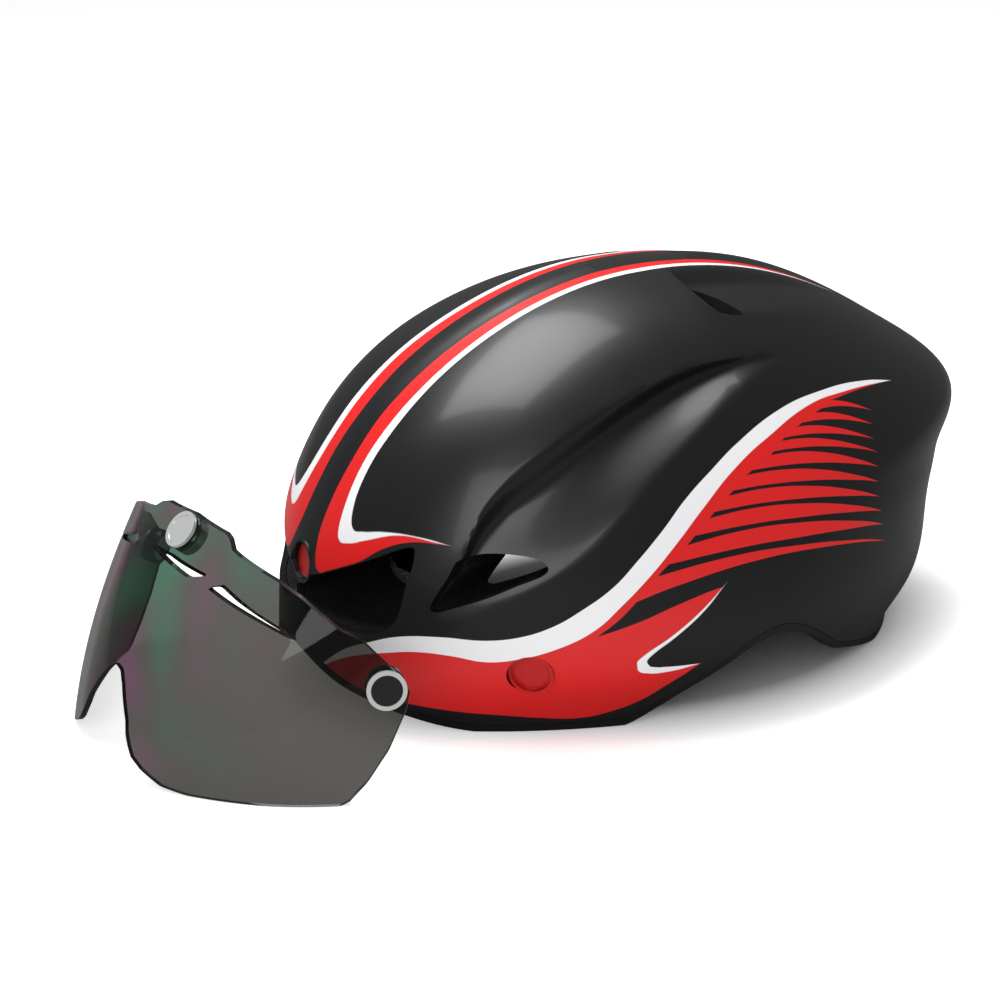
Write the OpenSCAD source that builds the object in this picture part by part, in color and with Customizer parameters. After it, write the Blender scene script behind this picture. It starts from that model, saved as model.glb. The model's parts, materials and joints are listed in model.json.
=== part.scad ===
/* [Helmet shell] */
// Height from the floor to the crown
helmet_h = 148; // [142:1:156]
// Reach of the shell in front of the origin
front_reach = 142; // [136:1:148]
// Reach of the tail behind the origin
rear_reach = 160; // [154:1:168]
// Half of the shell's greatest width
half_w = 102; // [98:1:106]
// Thickness of the hard outer shell
shell_t = 2.4; // [1.8:0.1:3]
// Height of the black edge strip under the shell
trim_h = 3.2; // [2.4:0.1:4.5]
// Width of the black edge strip
trim_w = 6; // [4.5:0.1:8]
// Depth of the air scoop that runs back along each side
scoop_depth = 8; // [3:0.5:9]

/* [Head cavity] */
// Shell and foam together in front of the head
brow_wall = 38; // [34:1:42]
// Shell and foam together behind the head
tail_wall = 48; // [44:1:54]
// Shell and foam together at each side of the head
side_wall = 20; // [17:1:23]
// Shell and foam together above the head
crown_wall = 27; // [25:1:30]

/* [Visor seats] */
// Radius of each seat cup
cup_r = 8; // [7.6:0.1:9]
// Length of each seat cup
cup_h = 6; // [5:0.5:8]
// Radius of the seat that takes a visor cap
seat_r = 7; // [6.8:0.1:7.2]
// Depth of that seat
seat_depth = 1.6; // [1.2:0.1:2]
// Radius of the magnets
magnet_r = 6; // [5:0.1:6.3]
// Thickness of the magnets
magnet_t = 3; // [2:0.1:3.2]

/* [Fit dial] */
// Height of the dial's axis above the floor
dial_z = 38; // [34:1:44]
// Room from the head side of the dial's housing to the cavity's rear
nape_room = 36; // [34:1:40]
// Half of the housing's width
housing_half_w = 24; // [22:1:26]
// Thickness of the housing's base
base_t = 2; // [1.6:0.1:2.6]
// Thickness of the housing's cover
cover_t = 1.8; // [1.4:0.1:2.4]
// Radius of the knob
knob_r = 12.5; // [11:0.5:14]
// Thickness of the knob
knob_t = 7; // [5:0.5:8]
// Grip ridges on the knob
knob_ridges = 20; // [12:1:28]
// Module of the pinion and racks
gear_module = 1; // [0.9:0.05:1.1]
// Teeth of the pinion
pinion_teeth = 8; // [8:1:9]
// Thickness of the racks
rack_t = 2.2; // [1.8:0.1:2.6]
// Length of each rack beyond the dial's axis
rack_len = 36; // [34:1:38]
// Height of the headband
band_w = 12; // [10:0.5:14]
// Thickness of the headband
band_t = 1.4; // [1.1:0.1:1.8]

/* [Straps] */
// Width of the webbing
strap_w = 15; // [13:0.5:17]
// Thickness of the webbing
strap_t = 1.5; // [1.2:0.1:1.8]
// Length of the buckle's socket
buckle_len = 24; // [22:1:28]
// Width of the buckle
buckle_w = 21; // [20:0.5:24]
// Height of the buckle
buckle_h = 7.6; // [7.2:0.2:9]

/* [Visor] */
// Half of the lens's width seen from above
lens_r = 94; // [90:1:98]
// Angle of the lens to each side of its middle
lens_half_angle = 64; // [62:1:66]
// Height of the lens up to the top of its brow tab
lens_h = 86; // [82:1:90]
// Thickness of the lens
lens_t = 2.2; // [1.8:0.1:2.6]
// Radius of the visor's caps
cap_r = 6.7; // [6.4:0.1:6.8]
// Height of the visor's caps
cap_h = 3.4; // [2.8:0.1:4]

/* [Hidden] */
$fn = 48;

// Small amount that every cut runs past the face it opens
over = 0.5;
// Room between fixed neighbours
gap = 0.3;
// Radial room of a turning fit
run_fit = 0.05;
// Side room of a sliding fit
slide_fit = 0.12;

// Reaches, half width and height of the head cavity
cavity_front = front_reach - brow_wall;
cavity_rear = rear_reach - tail_wall;
cavity_half_w = half_w - side_wall;
cavity_h = helmet_h - crown_wall;
// Head side of the dial's housing, behind the origin
dial_y = cavity_rear - nape_room;

// Number of columns round the shell and rows from the rim to the crown
cols = 52;
rows = 12;
// Degrees between two entries of the rim table
rim_step = 360 / 16;

// Shares of each reach at six even levels from the floor to the crown
front_share = [1.01, 1, 1.02, 1, 0.96, 0.9];
rear_share = [0.71, 0.77, 0.82, 1.01, 0.96, 0.9];
side_share = [0.82, 0.965, 0.995, 1, 1, 1];
// Shares of the rear reach by which the widest station moves back, at the floor, half way and at the crown
centre_share = [0.01, 0.055, 0.03];
// Roundness of the three profiles up to the crown
front_round = 2.95;
side_round = 2.4;
rear_round = 2.6;
// Squareness of the plan at the floor and at the crown
front_square = [1.65, 3.1];
rear_square = [1.95, 1.6];
// Rim height as a share of the helmet's height, every 22.5 degrees from the brow to the nape
rim_share = [0.165, 0.09, 0, 0, 0.23, 0.09, 0, 0, 0.02];
// Shares of the cavity's reaches at six even levels
hollow_share = [0.84, 0.97, 1, 1, 1, 1];
hollow_round = 2.5;
hollow_square = 2.2;

// Side scoop: where it starts and ends along the shell, and how fast it deepens and fades
scoop_front = -0.815 * front_reach;
scoop_back = 0.2125 * rear_reach;
scoop_fade = 4.4;
scoop_end_fade = 2;
// Crease and foot heights at even steps back along it; where its slope ends and its crease starts
scoop_top_share = [0.43, 0.585, 0.715, 0.765, 0.785, 0.795, 0.795];
scoop_foot_share = [0.325, 0.345, 0.445, 0.575, 0.675, 0.73, 0.785];
scoop_slope_share = 0.75;
scoop_crease_share = 0.68;
// Crown exhausts and the channels that run back from them
exhaust_x = 30;
exhaust_y = 8;
exhaust_half = 13;
exhaust_len = 20;
exhaust_aim_z = 0.6 * helmet_h;
// Corners of an exhaust as shares of its half width, its length and the helmet's height
exhaust_ring_share = [[-0.75, 0.1, 0.97], [-0.75, 1, 0.97], [0.75, 0.1, 0.93], [0.75, 1, 0.93]];
channel_len = 84;
channel_end_x = 22;
channel_end_share = 0.5;
channel_depth = 7;
channel_fade = 30;
// Edge strip's seat, seats' places on the shell and how deep the cups sink
trim_gap = 0.2;
seat_front_z = 0.36 * helmet_h;
seat_front_lean_angle = 6;
seat_angle = 52;
seat_side_z = 0.19 * helmet_h;
seat_turn_angle = -41;
seat_side_lean_angle = -9;
cup_sink = 0.6;
seat_cut = 0.125 * helmet_h;
// Corner radius of the vents, how far they reach out and in, and how much they narrow
vent_round = 4;
vent_out_share = 0.35;
vent_in_share = 0.75;
vent_narrow_share = 0.8;
// Aims of the front vents and of the rear ports, as shares like their corners
vent_a_aim_share = [[0.2, -0.4, 0.4]];
vent_b_aim_share = [[0.45, -0.35, 0.45]];
port_aim_share = [[0.22, 0.4, 0.42]];
// Corners of the front vents as shares of the half width, the front reach and the height
vent_a_share = [[0.12, -0.94, 0.34], [0.42, -0.83, 0.45], [0.43, -0.86, 0.32], [0.22, -0.93, 0.285]];
vent_b_share = [[0.61, -0.77, 0.35], [0.6, -0.75, 0.43], [0.68, -0.65, 0.49], [0.77, -0.54, 0.47],
    [0.76, -0.56, 0.44]];
// Corners of the rear ports as shares of the half width, the rear reach and the height
port_share = [[0.14, 0.86, 0.4], [0.34, 0.8, 0.4], [0.34, 0.84, 0.48], [0.14, 0.9, 0.48]];

// Pads: thickness, how thick their edges stay and how full they are
pad_t = 6;
pad_edge_share = 0.35;
pad_full_share = 0.4;
crown_pad_half = 11;
// Angles and heights of the pads on the wall, and the ends of those under the crown
front_pad_angle = 38;
front_pad_share = [0.2, 0.3];
side_pad_angles = [62, 104];
side_pad_share = [0.46, 0.62];
crown_pads_share = [[-0.6, -0.08], [0, 0.5]];
// Dial's gear train
pitch_r = gear_module * pinion_teeth / 2;
tooth_pitch = PI * gear_module;
backlash = 0.2 * gear_module;
tooth_half = tooth_pitch / 4 - backlash / 2;
flank_angle = 28;
addendum = 0.7 * gear_module;
dedendum = 1.05 * gear_module;
rack_back = 5.5;
rack_tail = 13 * gear_module;
rack_teeth = 8;
rail_h = 2.6;
shaft_r = 2.6;
stub_r = 1.8;
screw_r = 1.1;
screw_head_r = 2.2;
screw_head_h = 1;
spring_r = 7.4;
spring_t = 0.8;
click_r = 9.4;
click_depth = 0.7;
click_h = 2.4;
click_count = 24;
knob_gap = 0.3;
track_y = base_t + gap / 3;
cover_y = base_t + rack_t + 2 * gap / 3;
knob_y = cover_y + cover_t + knob_gap;
housing_half_h = pitch_r + rack_back + slide_fit + rail_h;
// Cradle posts
post_x = 14;
post_w = 8;
post_t = 1.6;
post_foot_y = 2.5;
// Headband: how far it hangs off the cavity wall and where it ends
band_depth = 8.3;
band_lead = 8;
band_from_angle = 122;
band_to_angle = 53;
band_steps = 26;
band_clip = [8, 14, 9];
band_clip_angle = 49;
band_clip_depth = 5.4;
// Nape pad's half sizes and thickness
nape_half_w = 22;
nape_half_h = 12;
nape_t = 5;
// Straps on the cavity wall: angle, share of the helmet's height and share of the half width
front_route_share = [[58, 0.345, 0.04], [60, 0.29, 0.036], [64, 0.235, 0.03], [67.4, 0.195, 0.03],
    [68, 0.168, 0.045],
                     [68, 0.143, 0.06]];
rear_route_share = [[150, 0.36, 0.05], [138, 0.345, 0.04], [124, 0.335, 0.035], [110, 0.33, 0.035],
    [96, 0.315, 0.04],
                    [84, 0.278, 0.046], [75.5, 0.235, 0.056], [69.4, 0.206, 0.064], [68.1, 0.182, 0.087],
                        [68, 0.143, 0.089]];
strap_steps = 22;
divider_angle = 68;
divider_z = 0.115 * helmet_h;
divider_depth = 0.075 * half_w;
divider = [22, 13, 7.6];
pocket = 4;
anchor = [17, 9, 5];
anchor_depth = 3.6;
front_anchor_z = 0.382 * helmet_h;
rear_anchor_angle = 154;
rear_anchor_z = 0.362 * helmet_h;
chin_top_z = 0.09 * helmet_h;
// Buckle on the floor between the cheeks
buckle_x = 8;
buckle_y = -0.29 * front_reach;
buckle_round = 2.5;
plug_base = [11.5, 19, 6.4];
tongue = [12, 4, 3.6];
prong = 3;
prong_y = 6.2;
keeper = [5, 19, 4.6];
keeper_x = -24;
keeper_wall = 1.1;
floor_gap = 1;
chin_pad_x = 38;
chin_pad_half = 9;
chin_pad_t = 4;
// Visor lens: depth seen from above, how far its foot, middle and keel stand out, and the keel's angle
lens_depth = 0.87 * lens_r;
lens_foot = 28;
lens_bow = 6;
lens_keel = 4;
keel_angle = 22;
lens_curve_h = 0.93 * lens_h;
// Columns of the lens as shares of its half angle, and the rows up it
column_share = [0, 0.035, 0.07, 0.105, 0.14, 0.155, 0.178, 0.2, 0.25, 0.3, 0.34, 0.39, 0.438, 0.5, 0.56,
    0.616, 0.68,
                0.753, 0.8, 0.83, 0.88, 0.93, 0.97, 1];
row_share = [0, 0.05, 0.11, 0.25, 0.4, 0.55, 0.77, 0.92, 1];
// Lens outline: heights of its top and bottom edge along the columns, and its half angle up the rows
top_edge_share = [[0, 0.995], [0.195, 0.98], [0.265, 0.934], [0.48, 0.88], [0.584, 0.84], [0.753, 0.745],
                  [0.83, 0.715], [1, 0.567]];
low_edge_share = [[0, 0.41], [0.035, 0.4], [0.07, 0.355], [0.14, 0.235], [0.155, 0.187], [0.178, 0.144],
    [0.2, 0.11],
                  [0.25, 0.075], [0.34, 0.034], [0.438, 0.026], [0.616, 0.036], [0.88, 0.058], [1, 0.08]];
rear_edge_share = [[0, 0.895], [0.11, 0.925], [0.4, 0.97], [0.77, 1], [0.92, 0.998], [1, 0.98]];
// Slots through the lens as angles and shares of its height
middle_slot_share = [[-7, 0.83], [0.7, 0.836], [13, 0.822], [9, 0.8]];
side_slot_share = [[15.6, 0.79], [18.4, 0.81], [39.3, 0.69], [37.7, 0.695]];
slot_round = 0.6;
slot_reach = 8;
// Visor caps: places on the lens, stem, head and magnet
brow_cap_share = 0.93;
temple_cap_share = 0.535;
temple_cap_angle = 59.3;
stem_r = 4;
stem_hole_r = 4.3;
head_r = 5.2;
head_h = 1;
ring_h = 1.2;
seat_off = 0.6;
visor_magnet_r = 5;
visor_magnet_t = 1.8;
// Where the visor stands in front of the helmet
visor_turn_angle = 9.2;
visor_tilt_angle = -5.7;
visor_side = -4.4;
visor_ahead = -0.75 * front_reach;
visor_drop = -0.1365 * lens_h;

// Spline through the entries of a table, at a place counted in entries
function table_at(v, u) =
    let (n = len(v) - 1, w = min(max(u, 0), n), k = min(floor(w), n - 1), f = w - k,
         a = k > 0 ? v[k - 1] : v[1], b = v[k], c = v[k + 1], d = k + 2 <= n ? v[k + 2] : v[n - 1])
    0.5 * (2 * b + (c - a) * f + (2 * a - 5 * b + 4 * c - d) * f * f + (3 * b - a - 3 * c + d) * f * f * f);
function mix(a, b, t) = a + (b - a) * t;
function ease(t) = let (s = min(max(t, 0), 1)) s * s * (3 - 2 * s);
function power(a, e) = a <= 0 ? 0 : pow(a, e);
function unit(v) = v / norm(v);

// A point of a superellipse plan: angle 0 is the front and 90 the wearer's left
function plan_point(angle, ahead, behind, side, centre, square_front, square_rear, z) =
    let (c = cos(angle), s = sin(angle), n = c > 0 ? square_front : square_rear)
    [sign(s) * side * power(abs(s), 2 / n), centre - sign(c) * (c > 0 ? ahead : behind)
        * power(abs(c), 2 / n), z];

// Depth of the side scoop below the plain shell, seen from the side
function scoop_dent(y, z) =
    let (s = (y - scoop_front) / (scoop_back - scoop_front), steps = len(scoop_top_share) - 1,
         foot = helmet_h * table_at(scoop_foot_share, steps * s), top =
             helmet_h * table_at(scoop_top_share, steps * s),
         v = (z - foot) / (top - foot))
    s <= 0 || s >= 1 || v <= 0 || v >= 1 ? 0 : scoop_depth * ease(scoop_fade * s)
        * ease(scoop_end_fade * (1 - s))
        * ease(v / scoop_slope_share) * (1 - ease((v - scoop_crease_share) / (1 - scoop_crease_share)));

// Depth of the channel behind each crown exhaust, seen from above
function channel_dent(x, y) =
    let (s = (y - exhaust_y) / channel_len, mid = mix(exhaust_x, channel_end_x, s),
         off = abs(abs(x) - mid) / (exhaust_half * mix(1, channel_end_share, s)))
    s <= 0 || s >= 1 || off >= 1 ? 0 : channel_depth * ease(channel_fade * s) * (1 - s)
        * pow(cos(90 * off), 0.5);

// A point on the shell, moved inwards by a depth
function shell_point(angle, z, depth) =
    let (t = min(z / (helmet_h - depth), 1), u = 5 * t,
         p = plan_point(angle,
             (front_reach * table_at(front_share, u) - depth) * sqrt(1 - pow(t, front_round)),
             (rear_reach * table_at(rear_share, u) - depth) * sqrt(1 - pow(t, rear_round)),
             (half_w * table_at(side_share, u) - depth) * sqrt(1 - pow(t, side_round)),
             rear_reach * table_at(centre_share, 2 * t),
             mix(front_square[0], front_square[1], t), mix(rear_square[0], rear_square[1], t), z))
    [p[0] - sign(p[0]) * min(scoop_dent(p[1], z), abs(p[0]) / 2), p[1], z - channel_dent(p[0], p[1])];

// A point on the wall of the head cavity, moved into the cavity by a depth
function hollow_point(angle, z, depth) =
    let (t = min(z / (cavity_h - depth), 1), k = table_at(hollow_share, 5 * t), r =
        sqrt(1 - pow(t, hollow_round)))
    plan_point(angle, (cavity_front * k - depth) * r, (cavity_rear * k - depth) * r,
        (cavity_half_w * k - depth) * r,
        0, hollow_square, hollow_square, z);

function rim_height(angle) =
    let (a = abs(angle > 180 ? angle - 360 : angle)) helmet_h * max(0, table_at(rim_share, a / rim_step));
function climb(low, high, j) = mix(low, high, sin(90 * j / rows));

// Rows of points up a wall, each from the rim to just below the crown
function shell_rows(depth, lift) =
    [for (j = [0:rows - 1]) [for (i = [0:cols - 1])
        let (a = 360 * i / cols, low = rim_height(a) + lift)
        shell_point(a, climb(low, helmet_h - depth, j), depth)]];
function hollow_rows(depth, lift) =
    [for (j = [0:rows - 1]) [for (i = [0:cols - 1])
        let (a = 360 * i / cols, low = rim_height(a) + lift)
        hollow_point(a, climb(low, cavity_h - depth, j), depth)]];

function flat(v) = [for (row = v) for (p = row) p];
function quad(a, b, c, d) = [[a, b, c], [a, c, d]];

// Thick dome between an outer and an inner set of rows, closed at the rim
module dome(outer, inner, outer_top, inner_top) {
    n = cols;
    m = len(outer) * n;
    top = 2 * m;
    skin = [for (j = [0:len(outer) - 2]) for (i = [0:n - 1])
        let (k = (i + 1) % n) each quad(j * n + i, j * n + n + i, j * n + n + k, j * n + k)];
    lining = [for (j = [0:len(inner) - 2]) for (i = [0:n - 1])
        let (k = (i + 1) % n) each quad(m + j * n + i, m + j * n + k, m + j * n + n + k, m + j * n + n + i)];
    caps = [for (i = [0:n - 1]) let (k = (i + 1) % n, r = m - n)
        each [[r + i, top, r + k], [m + r + k, top + 1, m + r + i]]];
    rim = [for (i = [0:n - 1]) let (k = (i + 1) % n) each quad(i, k, m + k, m + i)];
    polyhedron(concat(flat(outer), flat(inner), [outer_top, inner_top]), concat(skin, lining, caps, rim));
}

// Closed tube of any section swept through rings of points, open rings capped at both ends
module loft(rings, closed = false) {
    n = len(rings[0]);
    m = len(rings);
    sides = [for (j = [0:m - (closed ? 1 : 2)]) for (i = [0:n - 1])
        let (k = (i + 1) % n, u = (j + 1) % m) each quad(j * n + i, j * n + k, u * n + k, u * n + i)];
    ends = closed ? [] : [for (i = [1:n - 2]) each [[0, i + 1, i],
        [(m - 1) * n, (m - 1) * n + i, (m - 1) * n + i + 1]]];
    polyhedron(flat(rings), concat(sides, ends));
}

// Cushion between two sets of rows that meet along all four edges
module pillow(front_rows, back_rows) {
    n = len(front_rows[0]);
    m = len(front_rows);
    s = n * m;
    faces = [for (j = [0:m - 2]) for (i = [0:n - 2])
        each concat(quad(j * n + i, j * n + i + 1, j * n + n + i + 1, j * n + n + i),
            quad(s + j * n + i, s + j * n + n + i, s + j * n + n + i + 1, s + j * n + i + 1))];
    sides = concat(
        [for (i = [0:n - 2]) each quad(i, s + i, s + i + 1, i + 1)],
        [for (i = [0:n - 2]) each quad((m - 1) * n + i + 1, s + (m - 1) * n + i + 1, s + (m - 1) * n + i,
            (m - 1) * n + i)],
        [for (j = [0:m - 2]) each quad((j + 1) * n, s + (j + 1) * n, s + j * n, j * n)],
        [for (j = [0:m - 2]) each quad(j * n + n - 1, s + j * n + n - 1, s + (j + 1) * n + n - 1,
            (j + 1) * n + n - 1)]);
    polyhedron(concat(flat(front_rows), flat(back_rows)), concat(faces, sides));
}

function ceiling(x, y, depth) =
    let (r = power(power(abs(x) / (cavity_half_w - depth), hollow_square)
             + power(abs(y) / ((y < 0 ? cavity_front : cavity_rear) - depth), hollow_square),
                 1 / hollow_square))
    (cavity_h - depth) * power(max(0, 1 - r * r), 1 / hollow_round);

// Cutter from a ring of corners on the shell inwards to a point
module vent(corners, aim) {
    hull() {
        for (c = corners) {
            translate(mix(c, aim, -vent_out_share)) sphere(r = vent_round, $fn = 12);
            translate(mix(c, aim, vent_in_share)) sphere(r = vent_round * vent_narrow_share, $fn = 12);
        }
    }
}

function scaled(table, size) = [for (p = table) [p[0] * size[0], p[1] * size[1], p[2] * size[2]]];
front_size = [half_w, front_reach, helmet_h];
rear_size = [half_w, rear_reach, helmet_h];
exhaust_ring = [for (c = exhaust_ring_share)
    [exhaust_x + c[0] * exhaust_half, exhaust_y + c[1] * exhaust_len, c[2] * helmet_h]];

// All the air openings: two front vents, a crown exhaust and a rear port on each side
module air_openings() {
    for (side = [-1, 1]) {
        scale([side, 1, 1]) {
            vent(scaled(vent_a_share, front_size), scaled(vent_a_aim_share, front_size)[0]);
            vent(scaled(vent_b_share, front_size), scaled(vent_b_aim_share, front_size)[0]);
            vent(exhaust_ring, [exhaust_x, exhaust_y - exhaust_len, exhaust_aim_z]);
            vent(scaled(port_share, rear_size), scaled(port_aim_share, rear_size)[0]);
        }
    }
}

// Frame on the shell for a visor seat, its z axis pointing out of the shell
front_seat_at = shell_point(0, seat_front_z, 0);
side_seat_at = shell_point(seat_angle, seat_side_z, 0);
module at_front_seat() translate([0, front_seat_at[1], front_seat_at[2]])
    rotate([90 - seat_front_lean_angle, 0, 0]) children();
module at_side_seat(side) {
    translate([side * side_seat_at[0], side_seat_at[1], side_seat_at[2]])
        rotate([0, 0, side > 0 ? seat_turn_angle : 180 - seat_turn_angle])
            rotate([0, 90 - seat_side_lean_angle, 0]) children();
}
module seat_holes() {
    at_front_seat() translate([0, 0, -cup_h - gap - cup_sink])
        cylinder(r = cup_r + gap, h = cup_h + gap + seat_cut);
    for (side = [-1, 1]) {
        at_side_seat(side) translate([0, 0, -cup_h - gap - cup_sink])
            cylinder(r = cup_r + gap, h = cup_h + gap + seat_cut);
    }
}

module outer_shell() {
    color("dimgray") difference() {
        dome(shell_rows(0, trim_h + trim_gap), shell_rows(shell_t, trim_h + trim_gap),
            [0, shell_point(0, helmet_h, 0)[1], helmet_h],
                [0, shell_point(0, helmet_h, 0)[1], helmet_h - shell_t]);
        air_openings();
        seat_holes();
    }
}

module foam_liner() {
    skin = shell_t + gap;
    color("darkslategray") difference() {
        dome(shell_rows(skin, trim_h + trim_gap), hollow_rows(0, trim_h + trim_gap),
            [0, shell_point(0, helmet_h, 0)[1], helmet_h - skin], [0, 0, cavity_h]);
        air_openings();
        seat_holes();
    }
}

module rim_trim() {
    color("black") loft([for (i = [0:cols - 1]) let (a = 360 * i / cols, z = rim_height(a))
        [shell_point(a, z, 0), shell_point(a, z + trim_h, 0), shell_point(a, z + trim_h, trim_w),
         shell_point(a, z, trim_w)]], closed = true);
}

// Pad on the cavity wall between two angles and two heights
module wall_pad(from, to, heights, places = 12, levels = 6) {
    back = 3 * gap;
    function crown(u, v) = mix(pad_edge_share, 1, pow(max(0, sin(180 * u) * sin(180 * v)), pad_full_share));
    function rows_at(bulge) = [for (j = [0:levels]) [for (i = [0:places])
        hollow_point(mix(from, to, i / places), helmet_h * mix(heights[0], heights[1], j / levels),
            back + bulge * crown(i / places, j / levels))]];
    pillow(rows_at(pad_t), rows_at(0));
}

module front_pad() color("dimgray") wall_pad(-front_pad_angle, front_pad_angle, front_pad_share, places = 16);
module side_pad_left() color("dimgray") wall_pad(side_pad_angles[0], side_pad_angles[1], side_pad_share);
module side_pad_right() color("dimgray") wall_pad(-side_pad_angles[1], -side_pad_angles[0], side_pad_share);
// Pads on the mid-line under the crown, one ahead of the other
function crown_strip(from, to, bulge, places = 5, levels = 10) = [for (j = [0:levels]) [for (i = [0:places])
    let (x = mix(-crown_pad_half, crown_pad_half, i / places), y = mix(from, to, j / levels),
         c = mix(pad_edge_share, 1, pow(max(0, sin(180 * i / places) * sin(180 * j / levels)),
             pad_full_share)))
    [x, y, ceiling(x, y, 0) - 2 * gap - bulge * c]]];
module crown_pads() {
    color("dimgray") for (ends = crown_pads_share) {
        from = ends[0] * (ends[0] < 0 ? cavity_front : cavity_rear);
        to = ends[1] * (ends[1] < 0 ? cavity_front : cavity_rear);
        pillow(crown_strip(from, to, pad_t), crown_strip(from, to, 0));
    }
}

// Seat cup, its mouth at the shell's face: a seat for the visor's cap over a pocket for the magnet
module seat_cup() {
    color("firebrick") translate([0, 0, -cup_h - cup_sink]) difference() {
        cylinder(r = cup_r, h = cup_h);
        translate([0, 0, cup_h - seat_depth]) cylinder(r = seat_r, h = seat_depth + over);
        translate([0, 0, cup_h - seat_depth - magnet_t - run_fit])
            cylinder(r = magnet_r + run_fit, h = cup_h);
    }
}
module front_seat_cup() at_front_seat() seat_cup();
module left_seat_cup() at_side_seat(1) seat_cup();
module right_seat_cup() at_side_seat(-1) seat_cup();
module seat_magnets() {
    color("silver") {
        at_front_seat() seat_magnet();
        at_side_seat(1) seat_magnet();
        at_side_seat(-1) seat_magnet();
    }
}
module seat_magnet() {
    translate([0, 0, -cup_sink - seat_depth - magnet_t]) cylinder(r = magnet_r, h = magnet_t);
}

// Place on the dial's axis: x to the wearer's left, y down, z to the rear
module at_dial(back) translate([0, dial_y + back, dial_z]) rotate([-90, 0, 0]) children();
function involute(a) = tan(a) - a * PI / 180;
function half_tooth(r) =
    let (b = pitch_r * cos(flank_angle), a = r > b ? acos(b / r) : 0)
    (tooth_half / pitch_r + involute(flank_angle) - involute(a)) * 180 / PI;

module pinion_shape() {
    tip = pitch_r + addendum;
    root = pitch_r - dedendum;
    levels = [root, pitch_r * cos(flank_angle), pitch_r * 0.96, pitch_r * 1.04, tip];
    polygon([for (k = [0:pinion_teeth - 1]) let (m = 360 * k / pinion_teeth - 90)
        each concat([for (r = levels) [r * cos(m - half_tooth(r)), r * sin(m - half_tooth(r))]],
            [for (j = [4:-1:0]) let (r = levels[j]) [r * cos(m + half_tooth(r)),
                r * sin(m + half_tooth(r))]])]);
}

// Rack above the pinion, its teeth towards the axis
module rack_shape() {
    tip_half = tooth_half - addendum * tan(flank_angle);
    root_half = tooth_half + dedendum * tan(flank_angle);
    line = -pitch_r;
    teeth = [for (k = [-rack_teeth / 2:rack_teeth / 2 - 1]) let (x = (k + 0.5) * tooth_pitch)
        each [[x - root_half, line - dedendum], [x - tip_half, line + addendum],
            [x + tip_half, line + addendum],
              [x + root_half, line - dedendum]]];
    polygon(concat([[-rack_tail, line - rack_back], [-rack_tail, line - dedendum]], teeth,
        [[rack_len, line - dedendum], [rack_len, line - rack_back]]));
}
module rack() linear_extrude(height = rack_t) rack_shape();
module rack_left() color("dimgray") at_dial(track_y) rack();
module rack_right() color("dimgray") at_dial(track_y) rotate([0, 0, 180]) rack();

module housing_plate(h) {
    linear_extrude(height = h) offset(r = rail_h) offset(delta = -rail_h)
        square([2 * housing_half_w, 2 * housing_half_h], center = true);
}
module dial_housing() {
    color("black") at_dial(0) difference() {
        union() {
            housing_plate(base_t);
            for (side = [-1, 1]) {
                translate([-housing_half_w + rail_h, side > 0 ? housing_half_h - rail_h : -housing_half_h, 0])
                    cube([2 * (housing_half_w - rail_h), rail_h, cover_y]);
            }
        }
        translate([0, 0, -over]) cylinder(r = stub_r + run_fit, h = base_t + 2 * over);
    }
}
module dial_cover() {
    color("black") at_dial(cover_y) difference() {
        housing_plate(cover_t);
        translate([0, 0, -over]) cylinder(r = shaft_r + run_fit, h = cover_t + 2 * over);
    }
}
module dial_pinion() {
    top = knob_y + knob_t - 2 * cover_t;
    color("silver") at_dial(0) difference() {
        union() {
            translate([0, 0, gap]) cylinder(r = stub_r, h = track_y);
            translate([0, 0, track_y]) linear_extrude(height = rack_t) pinion_shape();
            translate([0, 0, track_y]) cylinder(r = shaft_r, h = top - track_y);
        }
        translate([0, 0, base_t]) cylinder(r = screw_r + run_fit, h = top);
    }
}
module dial_knob() {
    top = knob_t - 2 * cover_t + run_fit;
    color("black") at_dial(knob_y) difference() {
        cylinder(r = knob_r, h = knob_t);
        translate([0, 0, -over]) cylinder(r = shaft_r + run_fit, h = top + over);
        translate([0, 0, -over]) cylinder(r = screw_r + 2 * run_fit, h = knob_t + 2 * over);
        translate([0, 0, knob_t - screw_head_h]) cylinder(r = screw_head_r + run_fit, h = knob_t);
        translate([0, 0, -over]) linear_extrude(height = click_h + over) difference() {
            polygon([for (k = [0:2 * click_count - 1])
                let (r = click_r + (k % 2) * click_depth, m = 180 * k / click_count)
                    [r * cos(m), r * sin(m)]]);
            circle(r = shaft_r + cover_t);
        }
        for (k = [0:knob_ridges - 1]) {
            rotate([0, 0, 360 * k / knob_ridges]) translate([knob_r + screw_r / 2, 0, -over])
                cylinder(r = screw_r, h = knob_t + 2 * over, $fn = 16);
        }
    }
}
module dial_screw() {
    color("silver") at_dial(knob_y) {
        translate([0, 0, knob_t - screw_head_h + run_fit])
            cylinder(r = screw_head_r, h = screw_head_h - run_fit);
        translate([0, 0, knob_t - screw_head_h - 2 * knob_gap - cover_t * 3])
            cylinder(r = screw_r, h = cover_t * 3 + 2 * knob_gap + run_fit);
    }
}

// Leaf that clicks in the knob's ring of notches, standing on the cover
module click_spring() {
    nub = click_r - spring_r - spring_t - gap;
    color("silver") at_dial(cover_y + cover_t) linear_extrude(height = knob_gap + click_h - gap) {
        difference() {
            circle(r = spring_r + spring_t);
            circle(r = spring_r);
            translate([-2 * knob_r, 0]) square(4 * knob_r);
        }
        translate([0, -spring_r - spring_t - nub]) polygon([[-nub, nub + spring_t / 2], [0, 0],
            [nub, nub + spring_t / 2]]);
    }
}

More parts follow.
